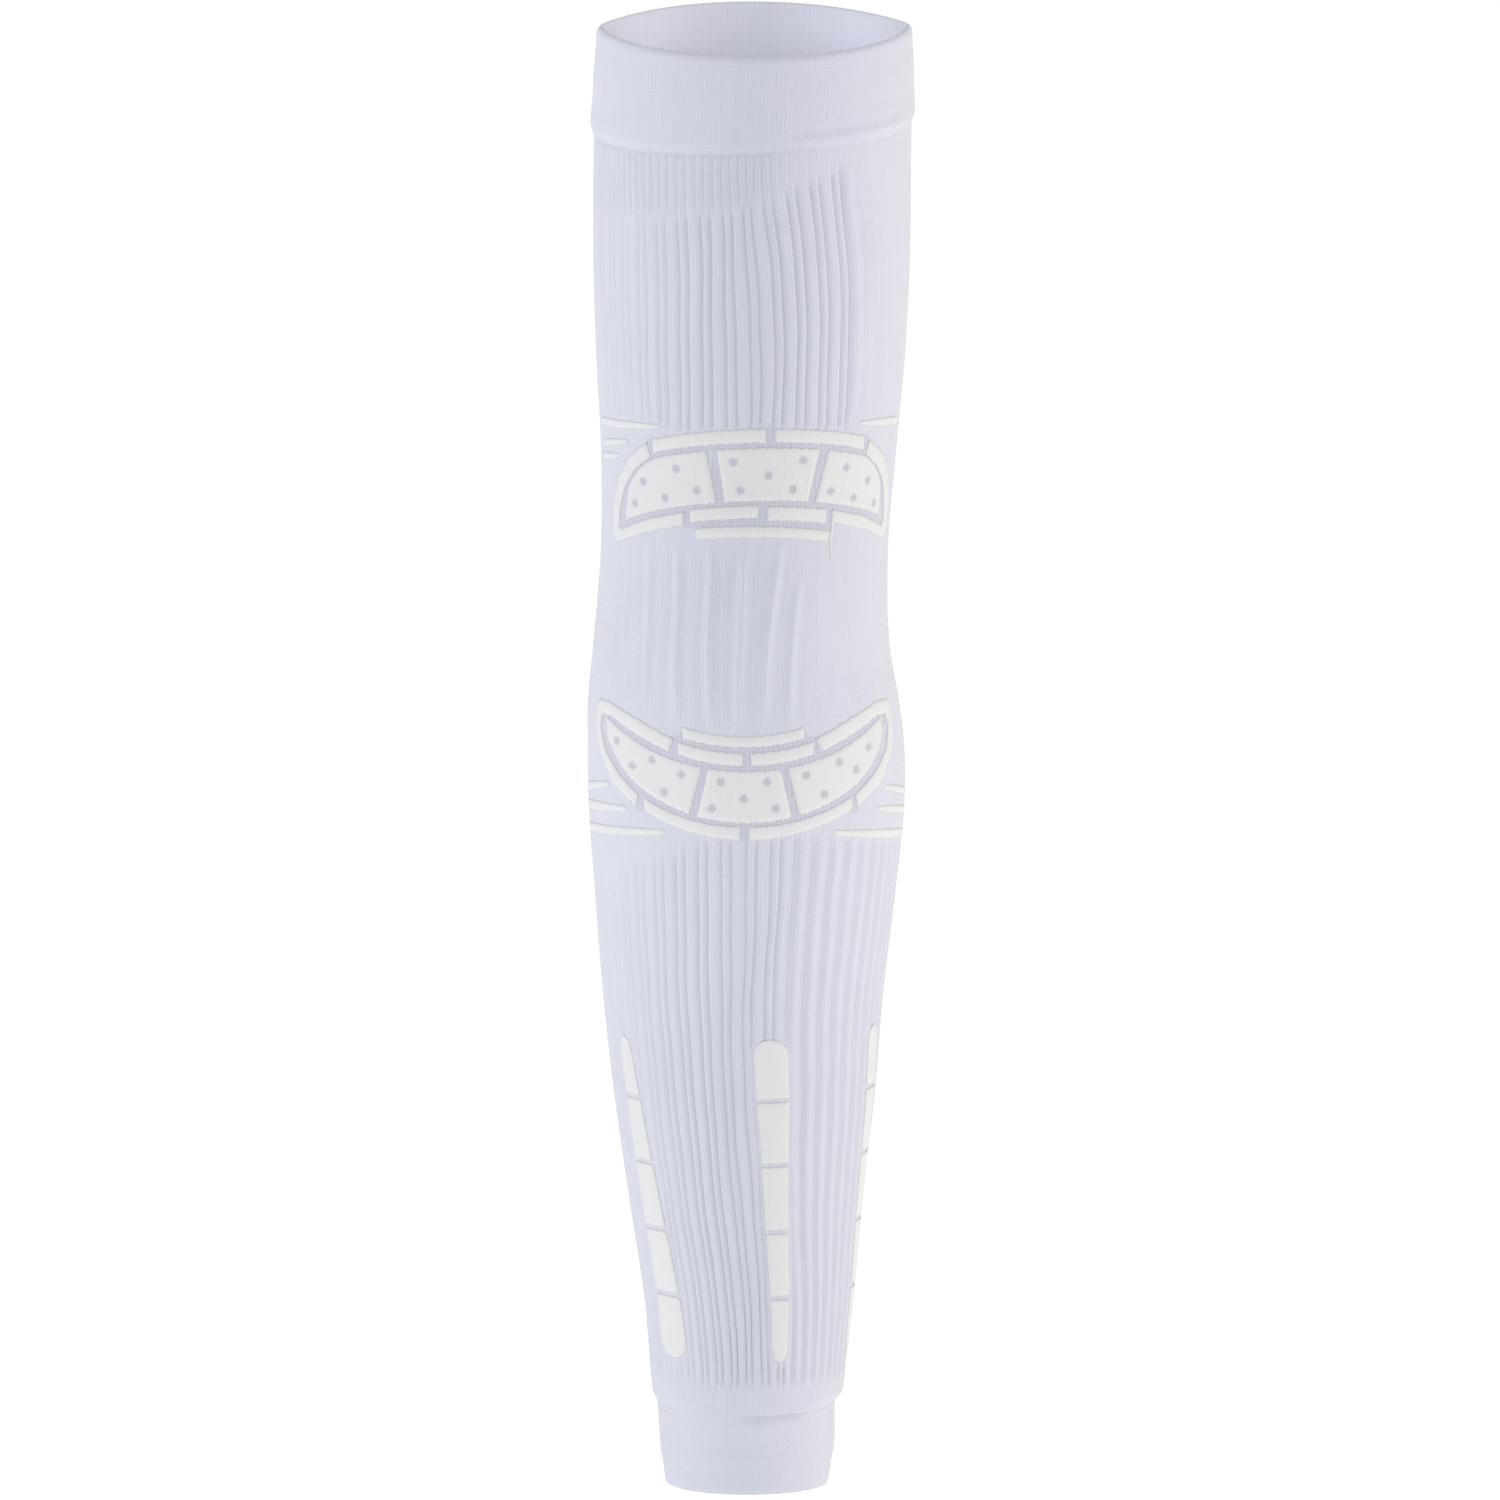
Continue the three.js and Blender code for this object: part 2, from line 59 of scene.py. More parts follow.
# %% The arm's table
ARM = np.array([  # below, width, depth and shift in millimetres, twist in degrees
    (0, 92, 83, 0.4, -6),
    (36, 92.5, 83.5, -0.2, -6),
    (65, 92.4, 83, -0.4, -2),
    (95, 90.2, 80.5, -0.7, 0),
    (125, 86.1, 76.5, -1.3, 0),
    (154, 83.8, 74, -2.5, 0),
    (184, 86.7, 74.5, -3.4, 0),
    (200, 90.9, 76, -2.8, 0),
    (214, 92.4, 77, -2, 0),
    (230, 92.2, 76.5, -1.9, 0),
    (258, 87.6, 73, -2.3, 0),
    (288, 81.7, 68, -2.9, 0),
    (317, 76.2, 62.5, -2.5, 1),
    (347, 68.6, 56.5, -2.1, 3.5),
    (377, 61.3, 51, -1.3, 6.5),
    (405, 55.9, 46.8, -1.6, 9),
    (433, 50.8, 42, -1.8, 9),
])
BELOW, WIDTH, DEPTH, SHIFT, TWIST = range(5)
ELBOW = 154


def along_arm(column, below):
    """One column of the table at any height, on a smooth curve through its rows."""
    height, value = ARM[:, BELOW], ARM[:, column]
    secant = np.diff(value) / np.diff(height)
    slope = np.concatenate(([secant[0]], (secant[:-1] + secant[1:]) / 2, [secant[-1]]))
    row = np.clip(np.searchsorted(height, below) - 1, 0, len(height) - 2)
    step = height[row + 1] - height[row]
    t = (below - height[row]) / step
    start = value[row] * (2 * t**3 - 3 * t**2 + 1) + slope[row] * step * (t**3 - 2 * t**2 + t)
    return start + value[row + 1] * (3 * t**2 - 2 * t**3) + slope[row + 1] * step * (t**3 - t**2)


print("width at the elbow", round(float(along_arm(WIDTH, ELBOW)), 1), "mm")


# %% A point on the arm
def on_arm(turn, below, lift):
    """The point at one turn and height, lifted square off the outline. Millimetres in, metres out."""
    angle = np.radians(turn)
    width, depth = along_arm(WIDTH, below), along_arm(DEPTH, below)
    out_x, out_y = np.sin(angle) * depth, -np.cos(angle) * width
    long = np.hypot(out_x, out_y)
    x = np.sin(angle) * width / 2 + lift * out_x / long + along_arm(SHIFT, below)
    y = -np.cos(angle) * depth / 2 + lift * out_y / long
    return np.stack([x, y, -np.broadcast_to(below, np.shape(x))], -1) * MM


print("front of the elbow", on_arm(0, ELBOW, 0))


# %% Soft steps
def smooth(x, low, high):
    """A soft step from 0 at low to 1 at high."""
    t = np.clip((x - low) / (high - low), 0, 1)
    return t * t * (3 - 2 * t)


def from_to(x, start, end):
    """1 between two soft steps and 0 outside them. Each step is a pair of values."""
    return smooth(x, *start) * (1 - smooth(x, *end))


def hump(x, half):
    """A soft hump that is 1 at 0 and fades on both sides."""
    return np.exp(-((x / half) ** 2))


print("half way up a soft step", smooth(0.5, 0, 1))

# %% [markdown]
# ## Camera
# The sleeve is seen from a little above and from far away, so it shows almost no perspective. A camera
# without any perspective would do for one picture. A very long lens far off looks the same and still has
# a place, so other views work in the same way.

# %% Camera
FRAME_WIDTH = 437.9 * MM
LENS, SENSOR = 1200, 36
LOOK_DOWN = math.radians(11.6)
FARTHEST = 100
target = Vector((-0.9 * MM, 0, -214.5 * MM))
distance = FRAME_WIDTH * LENS / SENSOR
place = target + distance * Vector((0, -math.cos(LOOK_DOWN), math.sin(LOOK_DOWN)))
bpy.ops.object.camera_add(location=place, rotation=(math.pi / 2 - LOOK_DOWN, 0, 0))
camera = bpy.context.object
camera.data.lens = LENS
camera.data.sensor_width = SENSOR
camera.data.clip_end = FARTHEST
bpy.context.scene.camera = camera
print("camera", round(distance, 2), "m away")

# %% [markdown]
# ## Studio
# A white floor lies well under the sleeve, because the arm would hold it up. The backdrop past the floor
# is plain white to the eye, but it lights the sleeve less than white would. Two tall soft boxes stand at
# the sides and one hangs high in front, so that the ribs show and the middle is a little darker than the
# edges. Two faint spots in front lift the elbow and the wrist. Light also comes through thin cloth, and
# two faint lamps inside the upper opening stand in for that. One bright sky would be simpler, but it
# would flatten the ribs.

# %% Floor
FLOOR_SIZE, FLOOR_LEVEL = 160, -0.8
PAPER_WHITE, PAPER_ROUGHNESS, PAPER_GLOW = 0.95, 0.9, 0.36
bpy.ops.mesh.primitive_plane_add(size=FLOOR_SIZE, location=(0, 0, FLOOR_LEVEL))
floor = bpy.context.object
floor.name = "studio_floor"
paper = bpy.data.materials.new("white_paper")
paper.use_nodes = True
paper_shader = paper.node_tree.nodes["Principled BSDF"]
paper_shader.inputs["Base Color"].default_value = (PAPER_WHITE, PAPER_WHITE, PAPER_WHITE, 1)
paper_shader.inputs["Roughness"].default_value = PAPER_ROUGHNESS
paper_shader.inputs["Emission Color"].default_value = (1, 1, 1, 1)
paper_shader.inputs["Emission Strength"].default_value = PAPER_GLOW
floor.data.materials.append(paper)
print("floor at", FLOOR_LEVEL, "m")

# %% Backdrop
AMBIENT = 0.685
world = bpy.context.scene.world or bpy.data.worlds.new("studio")
bpy.context.scene.world = world
world.use_nodes = True
sky = world.node_tree.nodes["Background"]
sky.inputs["Color"].default_value = (1, 1, 1, 1)
seen = world.node_tree.nodes.new("ShaderNodeLightPath").outputs["Is Camera Ray"]
strength = world.node_tree.nodes.new("ShaderNodeMath")
strength.operation = "MULTIPLY_ADD"
strength.inputs[1].default_value = 1 - AMBIENT
strength.inputs[2].default_value = AMBIENT
world.node_tree.links.new(seen, strength.inputs[0])
world.node_tree.links.new(strength.outputs[0], sky.inputs["Strength"])
bpy.context.scene.view_settings.view_transform = "Standard"
print("backdrop gives", AMBIENT, "of white light")

# %% Soft boxes
SOFT_BOXES = [  # name, turn, height, distance, power, width and height of the box, colour
    ("left_box", -88, -0.3, 1.3, 5.2, (0.5, 1.3), (0.96, 0.98, 1)),
    ("right_box", 90, -0.3, 1.3, 6.7, (0.5, 1.3), (1, 0.95, 0.78)),
    ("high_front", -8, 1.2, 2, 4.6, (1, 1), (0.98, 0.98, 1)),
]


def soft_box(name, turn, height, away, power, size, colour):
    """A soft box at one turn round the sleeve, facing its middle."""
    angle = math.radians(turn)
    stand = Vector((math.sin(angle) * away, -math.cos(angle) * away, height))
    facing = (target - stand).to_track_quat("-Z", "Y").to_euler()
    bpy.ops.object.light_add(type="AREA", location=stand, rotation=facing)
    light = bpy.context.object
    light.name = name
    light.data.shape = "RECTANGLE"
    light.data.size, light.data.size_y = size
    light.data.energy = power
    light.data.color = colour


for box in SOFT_BOXES:
    soft_box(*box)
print("soft boxes", len(SOFT_BOXES))

# %% Spots in front
SPOTS = [  # name, place to the right, height, angle of the beam, power
    ("elbow_spot", 0.01, -0.236, 8.5, 3.1),
    ("wrist_spot", 0.02, -0.37, 9, 2),
]
SPOT_AWAY, SPOT_RADIUS = 1.2, 0.1
FACING_BACK = math.pi / 2, 0, 0
for name, aside, height, beam, power in SPOTS:
    stand = aside, -SPOT_AWAY, height
    bpy.ops.object.light_add(type="SPOT", radius=SPOT_RADIUS, location=stand, rotation=FACING_BACK)
    spot = bpy.context.object
    spot.name = name
    spot.data.energy = power
    spot.data.spot_size = math.radians(beam)
    spot.data.spot_blend = 1
print("spots", len(SPOTS))

# %% Lamps inside the upper opening
LAMPS = [  # name, place to the right, colour
    ("glow_left", -0.016, (1, 0.93, 0.82)),
    ("glow_right", 0.016, (0.97, 0.98, 1)),
]
LAMP_BACK, LAMP_DOWN = 0.009, 0.008
LAMP_RADIUS, LAMP_POWER = 0.015, 0.0101
for name, aside, colour in LAMPS:
    bpy.ops.object.light_add(type="POINT", radius=LAMP_RADIUS, location=(aside, LAMP_BACK, -LAMP_DOWN))
    lamp = bpy.context.object
    lamp.name = name
    lamp.visible_camera = False
    lamp.data.energy = LAMP_POWER
    lamp.data.color = colour

# %% [markdown]
# ## The knitted loops
# Close up, plain knitting is columns of V-shaped loops. The columns are called wales and the rows
# courses. Each loop could be a bent strand of yarn, but there are far too many to model, so a shader node
# group draws them as a height. Across counts wales and Along counts courses: two legs lean together in
# each wale, and each course rises and falls once. The group also gives the gap between two wales and the
# small eyelets in it. Both finishes use this one group.


# %% Helpers for nodes
def fill(tree, socket, value):
    """Links the socket of another node, or sets a plain value."""
    if isinstance(value, bpy.types.NodeSocket):
        tree.links.new(value, socket)
    else:
        socket.default_value = value


def maths(tree, operation, *values):
    """A Math node with its inputs filled."""
    made = tree.nodes.new("ShaderNodeMath")
    made.operation = operation
    for socket, value in zip(made.inputs, values):
        fill(tree, socket, value)
    return made.outputs[0]


# %% Node group for the loops
LEG_SLANT, COURSE_RISE = 0.7, 0.25
GAP_SHARPNESS, EYELET_SHARPNESS = 6.0, 2.0
loops = bpy.data.node_groups.new("knitted_loops", "ShaderNodeTree")
for socket in ("Across", "Along"):
    loops.interface.new_socket(socket, in_out="INPUT", socket_type="NodeSocketFloat")
for socket in ("Height", "Gap", "Eyelet"):
    loops.interface.new_socket(socket, in_out="OUTPUT", socket_type="NodeSocketFloat")
entry = loops.nodes.new("NodeGroupInput")
result = loops.nodes.new("NodeGroupOutput")
across_wale = maths(loops, "FRACT", entry.outputs["Across"])
from_middle = maths(loops, "ABSOLUTE", maths(loops, "MULTIPLY_ADD", across_wale, 2.0, -1.0))
from_leg = maths(loops, "MULTIPLY_ADD", from_middle, 2.0, -1.0)
leg = maths(loops, "SUBTRACT", 1.0, maths(loops, "POWER", from_leg, 2.0))
slanted = maths(loops, "MULTIPLY_ADD", from_middle, LEG_SLANT, entry.outputs["Along"])
wave = maths(loops, "COSINE", maths(loops, "MULTIPLY", slanted, math.tau))
rise = maths(loops, "MULTIPLY_ADD", wave, COURSE_RISE, 1 - COURSE_RISE)
# Gap and Eyelet mark where the finishes paint shade between the wales.
gap = maths(loops, "POWER", from_middle, GAP_SHARPNESS)
course = maths(loops, "COSINE", maths(loops, "MULTIPLY", entry.outputs["Along"], math.tau))
open_course = maths(loops, "MULTIPLY_ADD", course, 0.5, 0.5)
open_wale = maths(loops, "POWER", from_middle, EYELET_SHARPNESS)
loops.links.new(maths(loops, "MULTIPLY", leg, rise), result.inputs["Height"])
loops.links.new(gap, result.inputs["Gap"])
loops.links.new(maths(loops, "MULTIPLY", open_wale, open_course), result.inputs["Eyelet"])
print("group", loops.name, [s.name for s in loops.interface.items_tree])

# %% [markdown]
# ## Yarn finishes
# The cloth is a pale lavender grey, matt, with a soft sheen at its edges, and a little uneven as yarn is.
# The pads are a paler cream yarn. A picture of knitting could be wrapped round the sleeve, but nodes stay
# sharp from near and need no file. Both finishes have the same nodes: the loops make the bump and paint a
# little shade into the gaps, a broad noise shifts the colour, and a noise drawn out along the wales makes
# some of them paler or darker. The wales follow the piece's own UV map, which runs round the arm, and the
# courses follow the height.

# %% Places on the cloth
WALES = 200


def knit_places(tree):
    """Sockets for the place in space, the wales counted round the arm, and the height."""
    coordinates = tree.nodes.new("ShaderNodeTexCoord")
    around = tree.nodes.new("ShaderNodeSeparateXYZ")
    tree.links.new(coordinates.outputs["UV"], around.inputs[0])
    upright = tree.nodes.new("ShaderNodeSeparateXYZ")
    tree.links.new(coordinates.outputs["Object"], upright.inputs[0])
    wales = maths(tree, "MULTIPLY", around.outputs["X"], float(WALES))
    return coordinates.outputs["Object"], wales, upright.outputs["Z"]


print("wales round the arm", WALES)

# %% Noises and mixes
STREAK_SCALE, STREAK_DETAIL, STREAK_STRETCH = 0.7, 2, 20.0
MIX_FACTOR, MIX_FIRST, MIX_SECOND, MIX_RESULT = 0, 6, 7, 2


def noise(tree, place, scale, detail):
    """A soft noise at a place."""
    made = tree.nodes.new("ShaderNodeTexNoise")
    made.inputs["Scale"].default_value = scale
    made.inputs["Detail"].default_value = detail
    tree.links.new(place, made.inputs["Vector"])
    return made.outputs[0]


def streaks(tree, wales, height):
    """A noise drawn out along the wales."""
    drawn_out = tree.nodes.new("ShaderNodeCombineXYZ")
    tree.links.new(wales, drawn_out.inputs["X"])
    tree.links.new(maths(tree, "MULTIPLY", height, STREAK_STRETCH), drawn_out.inputs["Y"])
    return noise(tree, drawn_out.outputs[0], STREAK_SCALE, STREAK_DETAIL)


def mixed(tree, factor, first, second):
    """A colour between two colours."""
    mix = tree.nodes.new("ShaderNodeMix")
    mix.data_type = "RGBA"
    for index, value in ((MIX_FACTOR, factor), (MIX_FIRST, first), (MIX_SECOND, second)):
        fill(tree, mix.inputs[index], value)
    return mix.outputs[MIX_RESULT]


# %% Colour of a yarn
GAP_SHADE_SHARE = 0.45


def yarn_colour(tree, colours, uneven, stitch, eyelets):
    """The yarn with painted shade in its gaps. Attribute shade mixes in painted shade and the dots'
    colour.
    """
    plain, darker_and_gap_shade, shade_and_dots = ((*colour, 1) for colour in colours)
    made = mixed(tree, uneven, plain, darker_and_gap_shade)
    made = mixed(tree, maths(tree, "MULTIPLY", stitch.outputs["Gap"], GAP_SHADE_SHARE), made, darker_and_gap_shade)
    marked = tree.nodes.new("ShaderNodeAttribute")
    marked.attribute_name = "shade"
    eyelet = maths(tree, "MULTIPLY_ADD", stitch.outputs["Eyelet"], eyelets, 1.0 - eyelets)
    return mixed(tree, maths(tree, "MULTIPLY", marked.outputs["Fac"], eyelet), made, shade_and_dots)


# %% Material for a knitted yarn
COURSE = 1.15 * MM
CLOUD_SCALE, CLOUD_DETAIL = 70, 5
CLOUD_SHARE, STREAK_SHARE, UNEVEN_FROM = 0.16, 0.3, 0.13
ROUGHNESS, ROUGHER = 0.82, 0.12
BUMP_STRENGTH = 0.6
SHEEN_ROUGHNESS, SPECULAR = 0.6, 0.2


def yarn(name, colours, bump, eyelets, sheen):
    """A knitted finish. Colours: the yarn's own, a darker one for uneven yarn and painted shade in the
    gaps, and one for painted shade and dots.
    """
    material = bpy.data.materials.new(name)
    material.use_nodes = True
    tree = material.node_tree
    shader = tree.nodes["Principled BSDF"]
    place, wales, height = knit_places(tree)
    stitch = tree.nodes.new("ShaderNodeGroup")
    stitch.node_tree = loops
    tree.links.new(wales, stitch.inputs["Across"])
    tree.links.new(maths(tree, "DIVIDE", height, COURSE), stitch.inputs["Along"])
    cloud = noise(tree, place, CLOUD_SCALE, CLOUD_DETAIL)
    uneven = maths(tree, "MULTIPLY", cloud, CLOUD_SHARE)
    uneven = maths(tree, "MULTIPLY_ADD", streaks(tree, wales, height), STREAK_SHARE, uneven)
    uneven = maths(tree, "SUBTRACT", uneven, UNEVEN_FROM)
    tree.links.new(yarn_colour(tree, colours, uneven, stitch, eyelets), shader.inputs["Base Color"])
    tree.links.new(maths(tree, "MULTIPLY_ADD", cloud, ROUGHER, ROUGHNESS), shader.inputs["Roughness"])
    relief = tree.nodes.new("ShaderNodeBump")
    relief.inputs["Strength"].default_value = BUMP_STRENGTH
    relief.inputs["Distance"].default_value = bump * MM
    tree.links.new(stitch.outputs["Height"], relief.inputs["Height"])
    tree.links.new(relief.outputs["Normal"], shader.inputs["Normal"])
    shader.inputs["Sheen Weight"].default_value = sheen
    shader.inputs["Sheen Roughness"].default_value = SHEEN_ROUGHNESS
    shader.inputs["Specular IOR Level"].default_value = SPECULAR
    return material


# %% Lavender and cream
# Colours: the yarn's own, a darker one for uneven yarn and painted shade in the gaps, and painted shade.
LAVENDER = (0.632, 0.645, 0.742), (0.5, 0.51, 0.615), (0.39, 0.39, 0.495)  # own, in gaps, in shade
# On the cream the last colour is the dots: the lavender showing through them, darkened with painted shade.
CREAM = (0.703, 0.713, 0.728), (0.64, 0.655, 0.68), (0.47, 0.48, 0.57)
lavender_knit = yarn("lavender_knit", LAVENDER, bump=0.16, eyelets=0.5, sheen=0.4)
cream_knit = yarn("cream_knit", CREAM, bump=0.08, eyelets=0.1, sheen=0)
print("finishes", lavender_knit.name, cream_knit.name)

# %% [markdown]
# ## Raised pads
# The pads are knitted in with a thicker yarn, so they are low plates that follow the arm and slope down
# to the cloth all round. They could be cut out of a thicker copy of the tube, but the cuts would be
# rough. So each one starts as a flat grid: an outline says where a point of the grid lies on the sleeve,
# the rim is laid lower than the face, and the Solidify modifier gives the plate its thickness. The long
# edges are a little ragged, wale by wale. The round dots are pressed into the face, and their edges are
# uneven, as they are knitted too.

# %% Rim and edges of a plate
PAD_LOW = 0.05
RIM_LEVEL, RIM_WIDTH = 0.1, 1.1
RIM_LINE = np.linspace(0, 1, 80)
RAGGED = [(0.13, WALES, 0), (0.1, 83, 1), (0.08, 131, 2)]  # millimetres, waves round the arm, start


def run(outline, s, t):
    """Length in millimetres of a line drawn through an outline."""
    return np.linalg.norm(np.diff(on_arm(*outline(s, t), 0), axis=0), axis=1).sum() / MM


def rim_slope(outline, s, t):
    """RIM_LEVEL along the rim of a plate and 1 on its face."""
    half_way = 0.5 + 0 * RIM_LINE
    long = run(outline, RIM_LINE, half_way)
    wide = run(outline, half_way, RIM_LINE)
    to_rim = np.minimum(np.minimum(s, 1 - s) * long, np.minimum(t, 1 - t) * wide)
    return RIM_LEVEL + (1 - RIM_LEVEL) * smooth(to_rim, 0, RIM_WIDTH)


def rim_points(outline):
    """Points all along the rim of a plate, where it meets the cloth."""
    low, high = 0 * RIM_LINE, 0 * RIM_LINE + 1
    edges = (RIM_LINE, low), (RIM_LINE, high), (low, RIM_LINE), (high, RIM_LINE)
    return np.concatenate([on_arm(*outline(s, t), PAD_LOW) for s, t in edges])


def ragged_edges(turn, below, t):
    """The heights, with the two long edges moved in and out a little."""
    angle = np.radians(turn)
    ragged = sum(size * np.sin(waves * angle + start) for size, waves, start in RAGGED)
    across = 2 * t - 1
    return below + ragged * across * np.abs(across) ** 3


# %% Dots pressed into a plate
DOT_RADIUS, DOT_INNER, DOT_OUTER = 1.3, 0.45, 0.3
DOT_UNEVEN_ACROSS, DOT_UNEVEN_DOWN, DOT_WAVES_DOWN = 0.14, 0.1, 4


def pressed_dots(turn, below, dots):
    """1 in the middle of a dot and 0 beside it."""
    points = on_arm(turn, below, 0)
    angle = np.radians(turn)
    pressed = np.zeros(len(turn))
    for dot_turn, dot_below in dots:
        middle = on_arm(np.array([dot_turn]), np.array([dot_below]), 0)
        far = np.linalg.norm(points - middle, axis=1) / MM
        far = far + DOT_UNEVEN_ACROSS * np.sin(angle * WALES + dot_below)
        far = far + DOT_UNEVEN_DOWN * np.sin(below * DOT_WAVES_DOWN + dot_turn)
        pressed = np.maximum(pressed, 1 - smooth(far, DOT_RADIUS - DOT_INNER, DOT_RADIUS + DOT_OUTER))
    return pressed


# %% Thickness and UV map of a plate
def thicken(plate, underside, height):
    """Thickens the plate and lays its underside on the cloth."""
    bpy.ops.object.mode_set(mode="EDIT")
    bpy.ops.mesh.select_all(action="SELECT")
    bpy.ops.mesh.normals_make_consistent(inside=False)
    bpy.ops.object.mode_set(mode="OBJECT")
    outward = plate.data.polygons[0].normal.dot(plate.data.polygons[0].center * Vector((1, 1, 0)))
    if outward < 0:
        plate.data.flip_normals()
    bpy.ops.object.modifier_add(type="SOLIDIFY")
    plate.modifiers[-1].thickness = height * MM
    plate.modifiers[-1].offset = -1
    bpy.ops.object.modifier_apply(modifier=plate.modifiers[-1].name)
    points = np.empty(len(plate.data.vertices) * 3)
    plate.data.vertices.foreach_get("co", points)
    points[len(underside) * 3:] = underside.ravel()
    plate.data.vertices.foreach_set("co", points)
    bpy.ops.object.shade_smooth()


def wrap_uv(plate, outline):
    """Makes the first UV coordinate run round the arm."""
    around = np.empty(len(plate.data.loops) * 2)
    plate.data.uv_layers[0].uv.foreach_get("vector", around)
    around[0::2] = outline(around[0::2], 1 - around[1::2])[0] / 360 + 0.5
    plate.data.uv_layers[0].uv.foreach_set("vector", around)


# %% Helper for raised pieces
PAD_HEIGHT = 0.28
DOT_DEPTH, DOT_SHADE = 0.8, 0.85
raised, rims = [], {}


def raised_piece(name, outline, columns, rows, height=PAD_HEIGHT, dots=()):
    """A plate on the sleeve. outline(s, t) gives turn and height, s along the plate and t across it."""
    bpy.ops.object.select_all(action="DESELECT")
    bpy.ops.mesh.primitive_grid_add(x_subdivisions=columns, y_subdivisions=rows, size=1)
    plate = bpy.context.object
    plate.name = plate.data.name = name
    flat = np.empty(len(plate.data.vertices) * 3)
    plate.data.vertices.foreach_get("co", flat)
    s, t = flat[0::3] + 0.5, 0.5 - flat[1::3]
    turn, below = outline(s, t)
    below = ragged_edges(turn, below, t)
    pressed = pressed_dots(turn, below, dots)
    lift = PAD_LOW + height * rim_slope(outline, s, t) * (1 - DOT_DEPTH * pressed)
    plate.data.vertices.foreach_set("co", on_arm(turn, below, lift).ravel())
    # The dots get the shade colour: lavender showing through, darkened with painted shade.
    shade = plate.data.attributes.new("shade", "FLOAT", "POINT")
    shade.data.foreach_set("value", (DOT_SHADE * pressed).astype(np.float32))
    wrap_uv(plate, outline)
    thicken(plate, on_arm(turn, below, PAD_LOW), height)
    rims[name] = rim_points(outline)
    plate.data.materials.append(cream_knit)
    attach(plate, "root")
    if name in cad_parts:
        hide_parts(name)
    raised.append(plate)


# %% [markdown]
# ## The two crescents
# Above and below the elbow a crescent of three pads lies between narrow bars. Each piece could be drawn
# by itself, but all their edges bow with the square of the turn, so one rule gives bars and pads their
# shape. The outer pads end in a rounded tip.

# %% Bars of the crescents
BARS = [  # name, from turn, to turn, top, height, bend, centre
    ("upper_bar_top_left", -40, 6.2, 111.2, 4.1, 0.0024, 5),
    ("upper_bar_top_right", 9.8, 50, 111.2, 4.1, 0.0024, 5),
    ("upper_bar_low_left", -23, 4.2, 134.1, 3.8, 0.0024, 5),
    ("upper_bar_low_right", 8.2, 33, 134.5, 4.3, 0.0024, 5),
    ("upper_bar_bottom", -20, 35, 140.4, 3.3, 0.0024, 1),
    ("lower_bar_top", -23, 22.5, 202.7, 3.2, -0.0042, 0),
    ("lower_bar_mid_left", -25.2, -1, 207.6, 3.8, -0.0042, 0),
    ("lower_bar_mid_right", 2, 25.6, 207.6, 3.8, -0.0042, 0),
    ("lower_bar_bottom_left", -40.2, -2.5, 229.6, 3.8, -0.0043, 0),
    ("lower_bar_bottom_right", 1, 41.6, 229.6, 3.8, -0.0043, 0),
]
COLUMNS_PER_DEGREE, BAR_ROWS = 2.2, 6


def columns_between(start, end):
    """Columns of the grid for a piece between two turns."""
    return round(COLUMNS_PER_DEGREE * abs(end - start))


def bar_outline(start, end, top, height, bend, centre):
    """A bar between two turns that bows away from its centre."""
    def outline(s, t):
        turn = start + (end - start) * s
        return turn, top + bend * (turn - centre) ** 2 + height * t
    return outline


for name, start, end, *sizes in BARS:
    raised_piece(name, bar_outline(start, end, *sizes), columns_between(start, end), BAR_ROWS)
print("bars", len(BARS))

# %% Charts of the pads
PADS = [  # name, top edge from and to, bottom edge from and to, tip
    ("upper_pad_left", -55, -17, -56.5, -12.3, "from"),
    ("upper_pad_middle", -12.6, 28, -9, 24.3, ""),
    ("upper_pad_right", 32, 65, 27.4, 66.5, "to"),
    ("lower_pad_left", -61, -16.4, -61, -21.2, "from"),
    ("lower_pad_middle", -13.8, 12.4, -18.2, 16.4, ""),
    ("lower_pad_right", 15.2, 61, 19.4, 61, "to"),
]
CENTRES = {"upper": 5, "lower": 0}
EDGES = {  # top, bottom, bend of each, length and roundness of the tip, its share of each edge
    "upper": (116.9, 132.8, 0.0024, 0.0024, 0.5, 0.62, 1, 0),
    "lower": (213, 228.4, -0.0036, -0.005, 0.45, 0.5, 0.25, 1),
}
DOTS = {  # turn and height of each dot
    "upper_pad_left": [(-29, 124), (-45, 129), (-34, 133), (-20, 130), (-50, 136)],
    "upper_pad_middle": [(-6, 121), (21, 121), (7.5, 125), (-3, 129.5), (17.5, 129.5)],
    "upper_pad_right": [(41, 124.5), (54, 129.5), (34, 131), (46, 134), (60, 137)],
    "lower_pad_left": [(-54, 207), (-45.5, 213.5), (-36, 211), (-24, 214.5), (-31, 220)],
    "lower_pad_middle": [(-9, 216), (7.5, 216), (-1, 221), (-12.5, 224), (10.5, 224)],
    "lower_pad_right": [(22, 214.5), (36, 211.5), (51, 208.5), (43.5, 214.5), (29, 220.5)],
}
print("dots", sum(len(dots) for dots in DOTS.values()))

# %% Pads of the crescents
PAD_GRID = 96, 36


